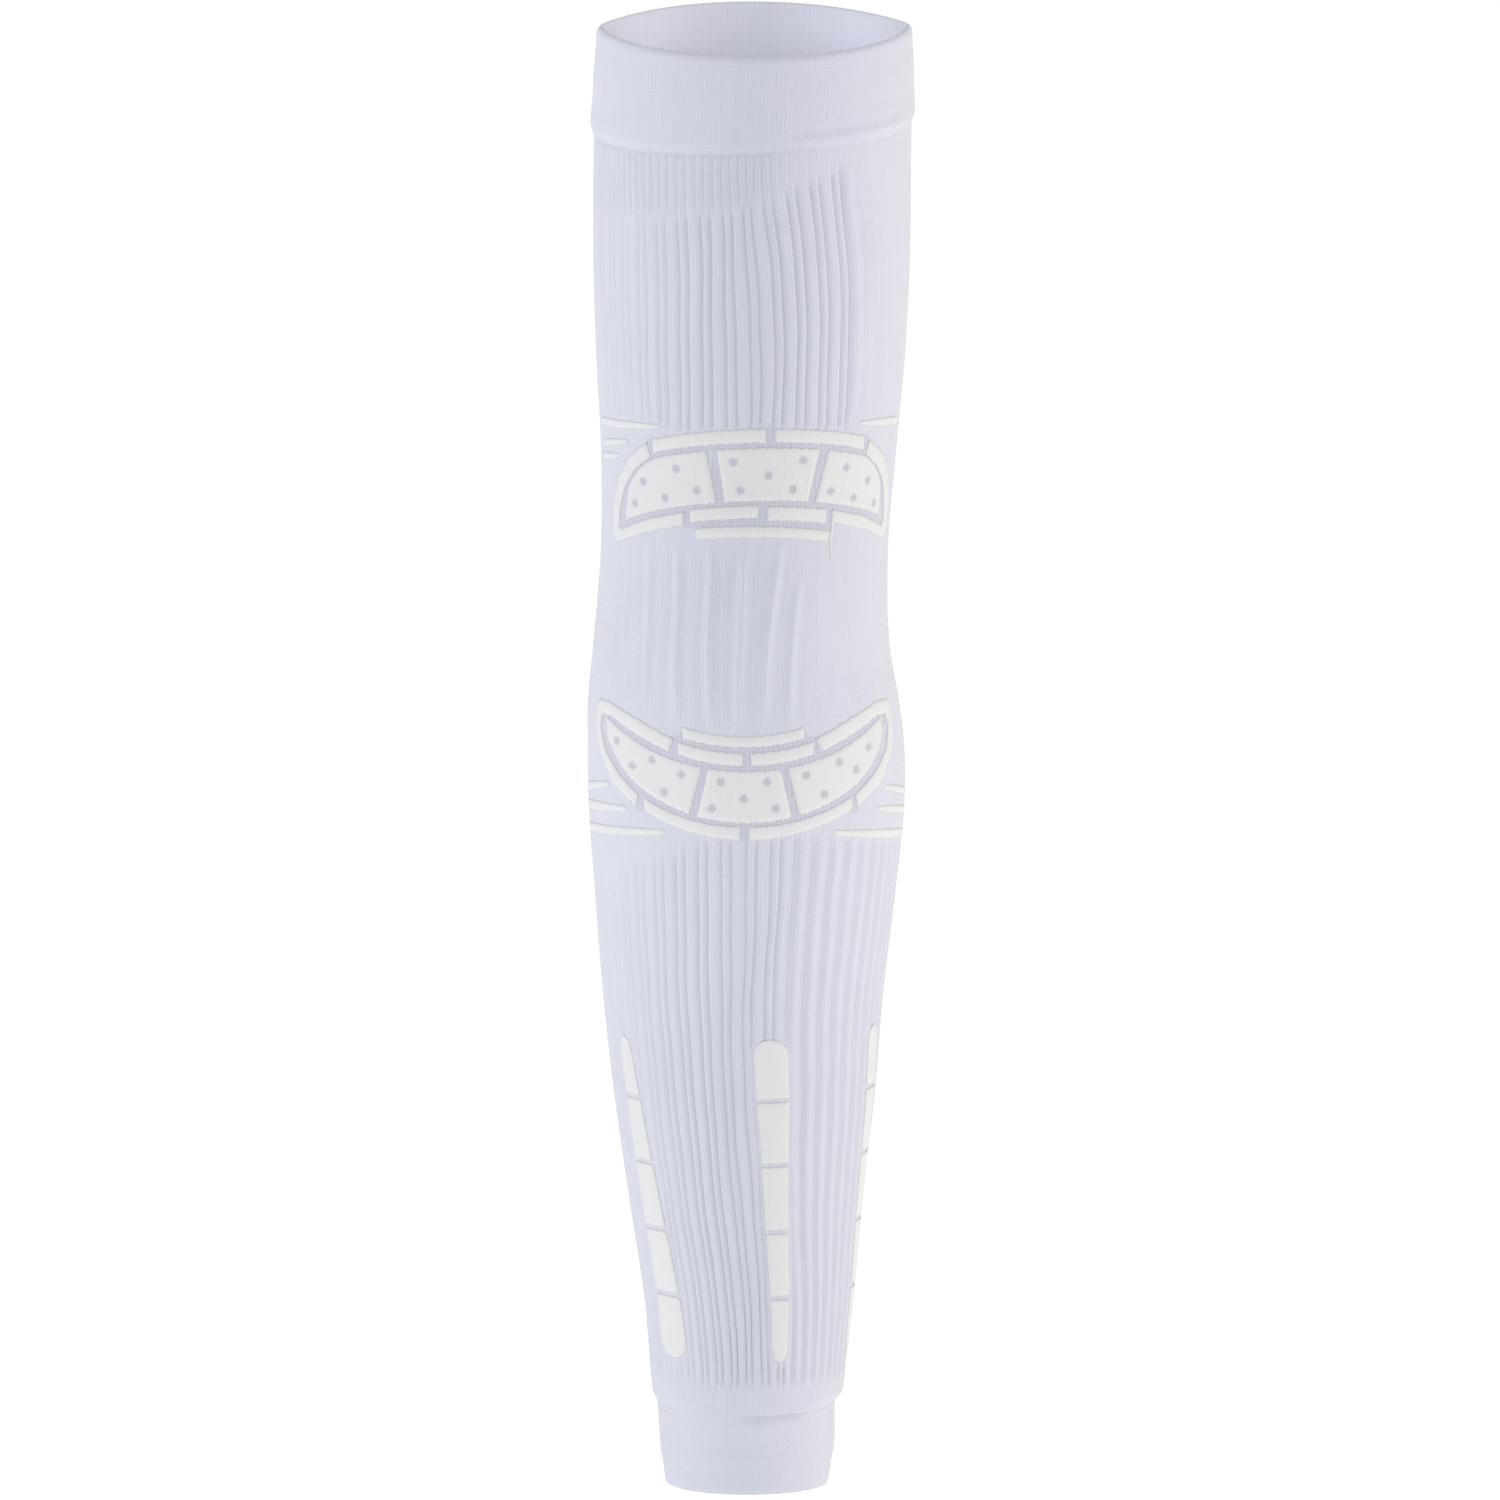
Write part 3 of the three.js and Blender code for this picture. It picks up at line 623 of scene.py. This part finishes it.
def pad_outline(top_from, top_to, low_from, low_to, tip, crescent):
    """A pad between the two bowed edges of its crescent."""
    top, bottom, top_bend, low_bend, length, roundness, on_top, on_low = EDGES[crescent]

    def outline(s, t):
        turn = (top_from + (top_to - top_from) * s) * (1 - t) + (low_from + (low_to - low_from) * s) * t
        away = (turn - CENTRES[crescent]) ** 2
        to_tip = {"from": s, "to": 1 - s}.get(tip, np.ones_like(s))
        near = np.clip(1 - to_tip / length, 0, 1)
        inset = roundness * (1 - np.sqrt(1 - near**2))
        share = inset * on_top + (1 - inset * (on_top + on_low)) * t
        return turn, (top + top_bend * away) * (1 - share) + (bottom + low_bend * away) * share
    return outline


for name, *turns_and_tip in PADS:
    crescent = name.split("_")[0]
    raised_piece(name, pad_outline(*turns_and_tip, crescent), *PAD_GRID, dots=DOTS[name])
print("pads", len(PADS))

# %% [markdown]
# ## Borders round the tips
# Each crescent is closed at its two tips by a border that turns round the pad. No simple curve has this
# shape, so the left ones are charted as a few pairs of points, outside and inside. The right ones are
# their mirror image, which keeps the two sides alike.

# %% Borders
BORDERS = {  # outside turn and height, inside turn and height
    "upper": [
        (-48, 117.8, -46.5, 121), (-58, 122.6, -55, 125.4), (-66, 129.6, -62, 131.2),
        (-70.5, 138, -66, 138.6), (-71, 146, -66.5, 144), (-67, 148.6, -64, 145.2),
        (-48, 143.6, -48, 140.6), (-30.5, 140.2, -30.5, 137.2),
    ],
    "lower": [
        (-27, 204.6, -28.5, 207.6), (-44, 199.6, -45, 203), (-59, 196.4, -58, 199.6),
        (-68, 196.6, -65, 199.8), (-70.5, 203, -66.5, 204), (-67, 211, -63, 210.4),
        (-57, 219.4, -54, 217), (-44, 225.2, -43, 222.4),
    ],
}
BORDER_WIDTH, BORDER_OUT = 1.32, 0.15
BORDER_GRID = 84, 5
HANDS = {"left": 1, "right": -1}


def border_outline(chart, centre, hand):
    """A border through the pairs of its chart, a little wider than they are apart."""
    chart = np.array(chart, float)
    number = np.arange(len(chart))

    def outline(s, t):
        t = BORDER_WIDTH * t - BORDER_OUT
        out_turn, out_below, in_turn, in_below = (np.interp(s * number[-1], number, c) for c in chart.T)
        return centre + hand * (out_turn * (1 - t) + in_turn * t), out_below * (1 - t) + in_below * t
    return outline


for crescent, chart in BORDERS.items():
    for side, hand in HANDS.items():
        outline = border_outline(chart, CENTRES[crescent], hand)
        raised_piece(f"{crescent}_loop_{side}", outline, *BORDER_GRID)
print("borders", len(BORDERS) * len(HANDS))

# %% [markdown]
# ## Rays and strips
# Thin rays run from the sides towards the crescents. They are lower than the pads, widest in the middle
# and round at the ends. Down the forearm run strips of five plates each, rounded at the two ends of the
# strip. They could be bent curves with a flat section. Made as plates like the others, they lie on the
# cloth in the same way.

# %% Rays
RAYS = [  # name, from turn, its top and height, to turn, its top and height
    ("upper_ray_left_1", -80, 113.9, 2.2, -36, 111.4, 1),
    ("upper_ray_left_2", -80, 120.8, 1.6, -54, 117.6, 1),
    ("upper_ray_left_3", -80, 124.8, 1.4, -61, 122.6, 1),
    ("upper_ray_right_1", 80, 113.6, 2.2, 47, 111.4, 1),
    ("lower_ray_left_1", -88, 223.9, 2.3, -60, 219.9, 1.4),
    ("lower_ray_left_2", -88, 228.6, 2.6, -49, 226, 1.6),
    ("lower_ray_left_3", -88, 235.4, 2.4, -31, 231.4, 1.6),
    ("lower_ray_right_1", 88, 225.6, 2, 60, 221, 1),
    ("lower_ray_right_2", 88, 230.8, 2.2, 55, 226.8, 1),
    ("lower_ray_right_3", 88, 237.4, 2.2, 33, 231.8, 1.6),
]
RAY_ROUNDING, RAY_TIP, RAY_SWELL = 0.06, 0.15, 3.2
RAY_ROWS, RAY_HEIGHT = 4, 0.17


def rounded(to_end, tip):
    """Share of the full width near a round end: tip at the end itself, and 1 from to_end 1 on."""
    return tip + (1 - tip) * np.sqrt(1 - np.clip(1 - to_end, 0, 1) ** 2)


def ray_outline(start, top, height, end, end_top, end_height):
    """A thin ray from one turn to another."""
    def outline(s, t):
        narrow = rounded(np.minimum(s, 1 - s) / RAY_ROUNDING, RAY_TIP)
        tall = height + (end_height - height) * s
        middle = top + (end_top - top) * s + tall / 2
        tall = tall + RAY_SWELL * s * (1 - s)
        return start + (end - start) * s, middle + (t - 0.5) * tall * narrow
    return outline


for name, start, top, height, end, *end_sizes in RAYS:
    outline = ray_outline(start, top, height, end, *end_sizes)
    raised_piece(name, outline, columns_between(start, end), RAY_ROWS, height=RAY_HEIGHT)
print("rays", len(RAYS))

# %% Forearm strips
STRIPS = [  # name, left and right turn at the top, the same at the end, how much lower it starts
    ("strip_left", -64.5, -56, -58.5, -36.5, 1.9),
    ("strip_centre", 3.6, 18.8, 13.6, 23, 0),
    ("strip_right", 65, 77, 76, 92, 0),
]
SEGMENTS = [(294, 312.1), (313.2, 331.7), (332.9, 352.1), (353.3, 372.2), (373.4, 392.4)]
STRIP_TOP, STRIP_END = SEGMENTS[0][0], SEGMENTS[-1][1]
STRIP_ROUNDING, STRIP_TIP = 0.3, 0.12
STRIP_GRID, STRIP_HEIGHT = (14, 28), 0.2


def strip_outline(left_top, right_top, left_end, right_end, drop, number):
    """One plate of a strip. The first is rounded at its top and the last at its end."""
    start, end = SEGMENTS[number]

    def outline(s, t):
        below = start + (end - start) * t
        along = (below - STRIP_TOP) / (STRIP_END - STRIP_TOP)
        below = below + drop * (1 - along)
        left = left_top + (left_end - left_top) * along
        right = right_top + (right_end - right_top) * along
        to_end = {0: t, len(SEGMENTS) - 1: 1 - t}.get(number, np.ones_like(t))
        narrow = rounded(to_end / STRIP_ROUNDING, STRIP_TIP)
        return left + (right - left) * (0.5 + (s - 0.5) * narrow), below
    return outline


for name, *turns_and_drop in STRIPS:
    for number in range(len(SEGMENTS)):
        outline = strip_outline(*turns_and_drop, number)
        raised_piece(f"{name}_{number + 1}", outline, *STRIP_GRID, height=STRIP_HEIGHT)
print("plates of strips", len(STRIPS) * len(SEGMENTS))

# %% [markdown]
# ## A loose end of yarn
# At the right end of a bar a yarn has come out and hangs down over the cloth. It could be a curve with a
# round section, but it lies flat and short, so the helper for plates makes it too, long, thin and a
# little wavy.

# %% Loose end of yarn
YARN_TURN, YARN_TOP, YARN_LENGTH = 36.3, 138.5, 14
YARN_WIDTH, YARN_TAPER = 1.3, 0.4
YARN_SWAY, YARN_WAVES = 0.7, 9
YARN_GRID, YARN_HEIGHT = (40, 4), 0.32


def loose_end(s, t):
    """A narrow plate that runs down the cloth."""
    width = YARN_WIDTH * (1 - YARN_TAPER * s)
    sway = YARN_SWAY * s * np.sin(YARN_WAVES * s)
    return YARN_TURN + sway + width * (t - 0.5), YARN_TOP + YARN_LENGTH * s


raised_piece("loose_yarn", loose_end, *YARN_GRID, height=YARN_HEIGHT)
print("raised pieces in all", len(raised))

# %% [markdown]
# ## Cloth beside the pads
# The plates are knitted in, so the cloth lies smooth along their rims and no groove opens under them.
# Where two plates of a crescent come close, a thin darker line of painted shade with small eyelets is laid
# on the lavender cloth between them. It could be painted by hand along each line. Both follow more simply
# from how far a point of the cloth is from the nearest rim and from the second nearest.

# %% Distances to the rims
FAR, NEAR = 9.0, 3 * MM
# Rays, strips and the loose yarn get no painted shade between plates.
NO_SHADE_BETWEEN = "ray", "strip", "yarn"


def beside_pads(points):
    """Millimetres from the cloth to the nearest rim, and to the two nearest of the crescents added up."""
    nearest, first, second = (np.full(len(points), FAR) for _ in range(3))
    for name, rim in rims.items():
        about = (points > rim.min(0) - NEAR) & (points < rim.max(0) + NEAR)
        near = np.all(about, axis=1).nonzero()[0]
        far = np.linalg.norm(points[near, None] - rim[None], axis=2).min(1) / MM
        nearest[near] = np.minimum(nearest[near], far)
        if not any(word in name for word in NO_SHADE_BETWEEN):
            second[near] = np.minimum(second[near], np.maximum(first[near], far))
            first[near] = np.minimum(first[near], far)
    return nearest, first + second


print("rims to keep clear of", len(rims))

# %% [markdown]
# ## Rolling flat knitting into a ring
# A sleeve is a flat pattern closed into a ring. A cylinder could be scaled row by row, but a flat grid is
# closer to the real thing: every point of it is laid on the arm, and the edges that meet are merged. The
# columns of the grid are wales, and its rows run down the outside, round the edge and up the inside,
# which gives the wall its thickness in one go.

# %% Lean of the wales
LEFT_LEAN = 0.3
LEAN_FROM, LEAN_TO = (-20, 20), (100, 170)
WANDERS = [  # degrees, length, slant, swing, swings round the arm
    (0.32, 13, 3, 2, 4),
    (0.16, 5.2, 11, 1, 7),
]


def lean(knit_turn, below):
    """How far the wales lean round the arm, on the upper arm mostly on the right. All wander a little."""
    twist = along_arm(TWIST, below)
    right = from_to(knit_turn, LEAN_FROM, LEAN_TO)
    angle = np.radians(knit_turn)
    wander = sum(
        size * np.sin(below / length + swing * np.sin(swings * angle) + slant * angle)
        for size, length, slant, swing, swings in WANDERS
    )
    return np.where(twist < 0, twist * (LEFT_LEAN + (1 - LEFT_LEAN) * right), twist) + wander


print("lean in front at the elbow", round(float(lean(0, ELBOW)), 2), "degrees")

# %% Helper for rings
INSIDE_SHADE, SHADE_FROM, SHADE_TO = 0.3, (3, 22), (405, 428)
MERGE_WITHIN = 1e-6
SMOOTH_BELOW = math.radians(86)


def close_ring(ring):
    """Merges the edges that meet, turns the faces outwards and smooths them."""
    bpy.ops.object.mode_set(mode="EDIT")
    bpy.ops.mesh.select_all(action="SELECT")
    bpy.ops.mesh.remove_doubles(threshold=MERGE_WITHIN)
    bpy.ops.mesh.normals_make_consistent(inside=False)
    bpy.ops.object.mode_set(mode="OBJECT")
    bpy.ops.object.shade_smooth_by_angle(angle=SMOOTH_BELOW)
    print(ring.name, len(ring.data.vertices), "points")


def knitted_ring(name, profile, relief):
    """A ring from a closed profile of (below, lift, outside) rows. relief shapes and shades it."""
    rows = np.array([*profile, profile[0]], float)
    bpy.ops.object.select_all(action="DESELECT")
    bpy.ops.mesh.primitive_grid_add(x_subdivisions=2 * WALES, y_subdivisions=len(rows) - 1, size=1)
    ring = bpy.context.object
    ring.name = ring.data.name = name
    flat = np.empty(len(ring.data.vertices) * 3)
    ring.data.vertices.foreach_get("co", flat)
    knit_turn = flat[0::3] * 360
    below, lift, outside = rows[np.round((0.5 - flat[1::3]) * (len(rows) - 1)).astype(int)].T
    below, extra, dark = relief(knit_turn, below)
    turn = knit_turn + lean(knit_turn, below)
    ring.data.vertices.foreach_set("co", on_arm(turn, below, lift + outside * extra).ravel())
    shade = ring.data.attributes.new("shade", "FLOAT", "POINT")
    # Painted shade inside the tube, darker away from the two openings.
    inside = INSIDE_SHADE * (1 - outside) * from_to(below, SHADE_FROM, SHADE_TO)
    shade.data.foreach_set("value", (outside * dark + inside).astype(np.float32))
    close_ring(ring)
    ring.data.materials.append(lavender_knit)
    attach(ring, "root")
    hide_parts(name)
    return ring


# %% [markdown]
# ## The ribbed tube
# The ribs come in pairs, three wales wide and two wales wide, with a narrow groove between. They cover
# the front of the upper arm and the whole forearm, where those to the right of the middle strip are
# single, round and wider. Under the band the ribs are finer, and over the elbow the cloth is plain with
# soft upright pleats. Each rib could be a tube of its own, but all of it is low relief of under a
# millimetre. So it is worked out as a lift for each point of the grid, which has two columns for each
# wale so that every groove falls on a column.

# %% Grooves between the ribs
PAIR, NARROW_RIB, GROOVE_HALF = 360 / 40, 0.4, 1.5
SINGLE_RIB, SINGLE_TOP = 360 / 50, 6.8
SINGLE_FROM, SINGLE_TO, SINGLE_BELOW = (13, 19), (105, 130), (215, 240)


def rib_grooves(knit_turn, below):
    """0 on top of a rib and -1 in the groove beside it."""
    part = np.mod(knit_turn / PAIR, 1)
    to_groove = np.minimum(np.minimum(part, 1 - part), np.abs(part - NARROW_RIB)) * PAIR
    pairs = -((1 - np.clip(to_groove / GROOVE_HALF, 0, 1)) ** 2)
    single = 0.5 * np.cos(np.radians(knit_turn - SINGLE_TOP) * 360 / SINGLE_RIB) - 0.5
    right = from_to(knit_turn, SINGLE_FROM, SINGLE_TO) * smooth(below, *SINGLE_BELOW)
    return pairs + (single - pairs) * right


print("pairs of ribs round the arm", round(360 / PAIR))

# %% Where the forearm's ribs start
SLANT_LEFT, LEFT_START, LEFT_RUN = 0.3, -6, 54
SLANT_RIGHT, RIGHT_START, RIGHT_RUN = 0.1, 20, 50
SLANT_BEHIND, BEHIND = 12, (100, 170)


def fore_slant(knit_turn):
    """How much lower than in front the forearm's ribs start: most on the left, and level behind."""
    left = SLANT_LEFT * np.clip(LEFT_START - knit_turn, 0, LEFT_RUN)
    right = SLANT_RIGHT * np.clip(knit_turn - RIGHT_START, 0, RIGHT_RUN)
    slant = left + right
    return slant + (SLANT_BEHIND - slant) * smooth(np.abs(knit_turn), *BEHIND)


print("lower on the left by", round(float(fore_slant(LEFT_START - LEFT_RUN)), 1), "mm")

# %% Where the ribs run
UPPER_START, RISE_RIGHT, RISE_LEFT = 46, 0.26, 0.1
UPPER_SOFT, UPPER_END = 2.5, (110, 115)
PANEL_FROM, PANEL_TO = (-95, -75), (40, 42)
FAINT, CLEAR_FROM, CLEAR_TO = 0.45, (-62, -14), (110, 175)
FORE_START, FORE_FULL, FORE_END = 229, 235, (397, 401)
FINE_SOFT, FINE_FROM, FINE_TO = 4, (-90, -70), (8, 26)


def rib_zones(knit_turn, below):
    """How strong the coarse ribs and the fine ribs are. The coarse ones grow faint on the left."""
    start = UPPER_START - RISE_RIGHT * np.maximum(knit_turn, 0) - RISE_LEFT * np.minimum(knit_turn, 0)
    faint = FAINT + (1 - FAINT) * from_to(knit_turn, CLEAR_FROM, CLEAR_TO)
    upper = from_to(below, (start - UPPER_SOFT, start + UPPER_SOFT), UPPER_END)
    upper = upper * from_to(knit_turn, PANEL_FROM, PANEL_TO) * faint
    slant = fore_slant(knit_turn)
    fore = from_to(below, (FORE_START + slant, FORE_FULL + slant), FORE_END) * faint
    fine = (1 - smooth(below, start - FINE_SOFT, start)) * from_to(knit_turn, FINE_FROM, FINE_TO)
    return np.maximum(upper, fore), fine


# %% Pleats over the elbow
PLEATS = [  # turn at the top, turn at the end, start, end, height
    (-55, -51, 148, 192, 0.25),
    (-41.5, -38, 147, 197, 0.4),
    (-27.5, -25, 146, 201, 0.55),
    (-13.5, -12, 146, 203, 0.6),
    (0, -2, 146, 203, 0.85),
    (13, 7.5, 146, 202, 0.6),
    (23.5, 17.5, 156, 202, 0.5),
    (43, 43, 34, 111, 0.35),
]
PLEAT_TOP, PLEAT_RUN, PLEAT_HALF = 150, 52, 1.4
PLEAT_RISES, PLEAT_FADES = (-3, 9), (-12, 1)
DENT_DEPTH, DENT_AWAY, DENT_HALF = 0.3, 3.6, 1.1


def pleat_lift(knit_turn, below):
    """Soft upright folds, each with a dent on both sides. The last one lies beside the upper ribs."""
    lift = 0
    for top_turn, end_turn, start, end, height in PLEATS:
        off = knit_turn - (top_turn + (end_turn - top_turn) * (below - PLEAT_TOP) / PLEAT_RUN)
        strong = smooth(below - start, *PLEAT_RISES) * (1 - smooth(below - end, *PLEAT_FADES))
        fold = hump(off, PLEAT_HALF) - DENT_DEPTH * hump(np.abs(off) - DENT_AWAY, DENT_HALF)
        lift = lift + height * strong * fold
    return lift


print("pleats", len(PLEATS))

# %% Relief of the tube
SEAM, SEAM_TILT, SEAM_FRONT, SEAM_LEVEL = 30, 2, 6, 60
TUBE_END, STEP_LENGTH = 408.5, 3.4
STEP_FRONT, STEP_SIDE, STEP_RIGHT, STEP_TURN = 0.06, 1.54, 0.25, 9
RIB_DEPTH, FINE_RIB, FINE_DEPTH = 0.55, 360 / 100, 0.33
CLEAR_OF_RIMS = 0.3, 1.7
RIB_SHADE, RIB_PALER, FOREARM, FINE_SHADE = 0.4, 0.1, (200, 250), 0.36
BETWEEN_PLATES_SHADE, BETWEEN_PLATES_SPAN = 0.55, (2.8, 3.8)


def side_step(knit_turn):
    """The step from the tube in to the cuff: most on the right, less on the left, hardly any in front."""
    across = np.sin(np.radians(knit_turn + STEP_TURN))
    return (STEP_FRONT + STEP_SIDE * across**4) * (1 + STEP_RIGHT * across)


def tube_relief(knit_turn, below):
    """Height, lift and painted shade of the tube's outside."""
    edge = SEAM_TILT * np.sin(np.radians(knit_turn - SEAM_FRONT)) * (1 - smooth(below, SEAM, SEAM_LEVEL))
    coarse, fine = rib_zones(knit_turn, below)
    nearest, gap = beside_pads(on_arm(knit_turn + lean(knit_turn, below), below, 0))
    groove = coarse * smooth(nearest, *CLEAR_OF_RIMS) * rib_grooves(knit_turn, below)
    thread = fine * (np.cos(np.radians(knit_turn) * 360 / FINE_RIB) - 1) / 2
    lift = RIB_DEPTH * groove + FINE_DEPTH * thread + pleat_lift(knit_turn, below)
    lift = lift - side_step(knit_turn) * smooth(below, TUBE_END - STEP_LENGTH, TUBE_END)
    # Painted shade in the rib grooves and fine grooves, a little less on the forearm.
    rib_shade = RIB_SHADE - RIB_PALER * smooth(below, *FOREARM)
    dark = rib_shade * np.abs(groove) + FINE_SHADE * np.abs(thread)
    # Painted shade between two close plates of a crescent.
    shade_between = BETWEEN_PLATES_SHADE * (1 - smooth(gap, *BETWEEN_PLATES_SPAN))
    return below - edge, lift, np.maximum(dark, shade_between)


print("step at the right of the cuff", round(float(side_step(90 - STEP_TURN)), 2), "mm")

# %% Tube
KNIT_WALL, INNER_ROWS = 2.2, 14
SPANS = [  # from, to, rows
    (SEAM, 108, 34), (108, 150, 38), (150, 194, 20), (194, 240, 42), (240, 404, 90), (404, TUBE_END, 6),
]
heights = np.concatenate([np.linspace(start, end, rows, endpoint=False) for start, end, rows in SPANS])
tube_out = [(below, 0, 1) for below in (*heights, TUBE_END)]
tube_in = [(below, -KNIT_WALL, 0) for below in np.linspace(TUBE_END, SEAM, INNER_ROWS)]
knit_sleeve = knitted_ring("knit_sleeve", tube_out + tube_in, tube_relief)

# %% [markdown]
# ## The band and the cuff
# The band is the same cloth turned over to the inside, so it is thick, rounded at the rim, and swells a
# little where the turned edge is caught. Its lower edge runs a bit lower on the left, and a soft fold
# lies above it on the right. The cuff is single and plain and a step narrower than the tube, with a soft
# crease in front, right under the seam. Both could be part of the tube, but each has a thickness and a
# seam of its own, so each is a ring with its own profile.

# %% Rounded hems
HEM_POINTS = 13


def hem(below, lift, reach, half):
    """Rows of a profile round a hem, from the outside to the inside, which reach beyond below."""
    angles = np.linspace(0, math.pi, HEM_POINTS)[1:-1]
    return [(below + reach * math.sin(a), lift + half * math.cos(a), 0) for a in angles]


# %% Profile of the band
JOIN = 0.02
BAND_WALL, BAND_TOP, BAND_END = 2.6, 2, SEAM - JOIN
BAND_ROWS, BAND_INNER_ROWS = 44, 12
band_out = [(below, 0, 1) for below in np.linspace(BAND_TOP, BAND_END, BAND_ROWS)]
band_in = [(below, -BAND_WALL, 0) for below in np.linspace(BAND_END, BAND_TOP, BAND_INNER_ROWS)]
band_rim = hem(BAND_TOP, -BAND_WALL / 2, -BAND_TOP, BAND_WALL / 2)
print("rows of the band", len(band_out) + len(band_in) + len(band_rim))

# %% Band
RIM_FRONT, RIM_BACK, RIM_SIDES, RIM_SHOULDERS = 1.8, 0.6, 0.9, 1.3
SWELL, SWELL_SPAN, BULGE, BULGE_SPAN = 0.6, (BAND_TOP, 16), 0.45, (17, 26)
FLATTENED = 0.75
FOLD_BELOW, FOLD_HALF, FOLD_DEPTH, FOLD_SHADE = 24, 1.6, 0.35, 0.12
FOLD_FROM, FOLD_TO = (14, 28), (66, 84)
SEAM_SHADE_PITCH, SEAM_SHADE_LEVEL, SEAM_SHADE_WAVE = 2.4, 0.75, 0.25
SEAM_SHADE, SEAM_SHADE_SPAN = 0.55, (28.4, 29.4)
SEAM_SHADE_FROM, SEAM_SHADE_TO = (-120, -80), (12, 38)


def band_relief(knit_turn, below):
    """The rim dips in front and behind, and the band swells towards its edge, most at the sides."""
    front = np.radians(knit_turn - SEAM_FRONT)
    across = np.cos(front)
    edge = 1 - SEAM_TILT / SEAM * np.sin(front)
    rim = np.where(across > 0, RIM_FRONT, RIM_BACK) * across**2 - RIM_SIDES
    rim = rim + RIM_SHOULDERS * np.sin(math.pi * np.clip(-across, 0, 1))
    swell = SWELL * smooth(below, *SWELL_SPAN) + BULGE * smooth(below, *BULGE_SPAN)
    swell = swell * (1 - smooth(below, BULGE_SPAN[1], SEAM)) * (1 - FLATTENED * across**2)
    # Painted shade in the soft fold on the right.
    fold = hump(below - FOLD_BELOW, FOLD_HALF) * from_to(knit_turn, FOLD_FROM, FOLD_TO)
    # Painted shade along the seam under the band, in dots like stitches.
    seam_shade = SEAM_SHADE_LEVEL + SEAM_SHADE_WAVE * np.cos(np.radians(knit_turn) * 360 / SEAM_SHADE_PITCH)
    seam_shade = seam_shade * smooth(below, *SEAM_SHADE_SPAN) * from_to(knit_turn, SEAM_SHADE_FROM, SEAM_SHADE_TO)
    below = below * edge + rim * (1 - below / SEAM)
    return below, swell - FOLD_DEPTH * fold, SEAM_SHADE * seam_shade + FOLD_SHADE * fold


top_band = knitted_ring("top_band", band_out + band_in + band_rim[::-1], band_relief)

# %% Profile of the cuff
CUFF_WALL, CUFF_TOP, CUFF_HEM, CUFF_REACH = 1.6, TUBE_END + JOIN, 428.5, 4.5
CUFF_LIFT, HEM_TAPER = -1, 0.4
HEM_MIDDLE, HEM_HALF = CUFF_LIFT - (CUFF_WALL + HEM_TAPER) / 2, (CUFF_WALL - HEM_TAPER) / 2
CUFF_ROWS, CUFF_INNER_ROWS = 24, 8
cuff_out = [(below, 0, 1) for below in np.linspace(CUFF_TOP, CUFF_HEM, CUFF_ROWS)]
cuff_in = [(below, CUFF_LIFT - CUFF_WALL, 0) for below in np.linspace(CUFF_HEM, CUFF_TOP, CUFF_INNER_ROWS)]
cuff_rim = hem(CUFF_HEM, HEM_MIDDLE, CUFF_REACH, HEM_HALF)
print("rows of the cuff", len(cuff_out) + len(cuff_in) + len(cuff_rim))

# %% Cuff
GRIP_FULL, TAPER_FROM = 421, 422
CREASE_BELOW, CREASE_RISE, CREASE_HALF = CUFF_TOP + 0.8, 0.02, 1.2
CREASE_FROM, CREASE_TO = (-20, -2), (22, 32)
CREASE_DEPTH, CREASE_SHADE = 0.5, 0.35


def cuff_relief(knit_turn, below):
    """The cuff grips more towards its hem, and a crease lies under the seam in front."""
    # Painted shade in the crease under the seam.
    crease = hump(below - CREASE_BELOW + CREASE_RISE * knit_turn, CREASE_HALF)
    crease = crease * from_to(knit_turn, CREASE_FROM, CREASE_TO)
    gripping = smooth(below, CUFF_TOP, GRIP_FULL)
    lift = gripping * CUFF_LIFT - (1 - gripping) * side_step(knit_turn)
    lift = lift - HEM_TAPER * smooth(below, TAPER_FROM, CUFF_HEM)
    return below, lift - CREASE_DEPTH * crease, CREASE_SHADE * crease


wrist_cuff = knitted_ring("wrist_cuff", cuff_out + cuff_rim + cuff_in, cuff_relief)

# %% [markdown]
# ## The cloth
# The tube is cloth stretched over an arm. Its flat size is the distance round it at the widest part and
# its length, and its real area is a little less because it tapers. A cloth simulation could lay it on the
# arm, but tight cloth has no slack to fall, so the shape worked out above already is its rest.

print("cloth", knit_sleeve.name, "with", 2 + len(raised), "pieces")
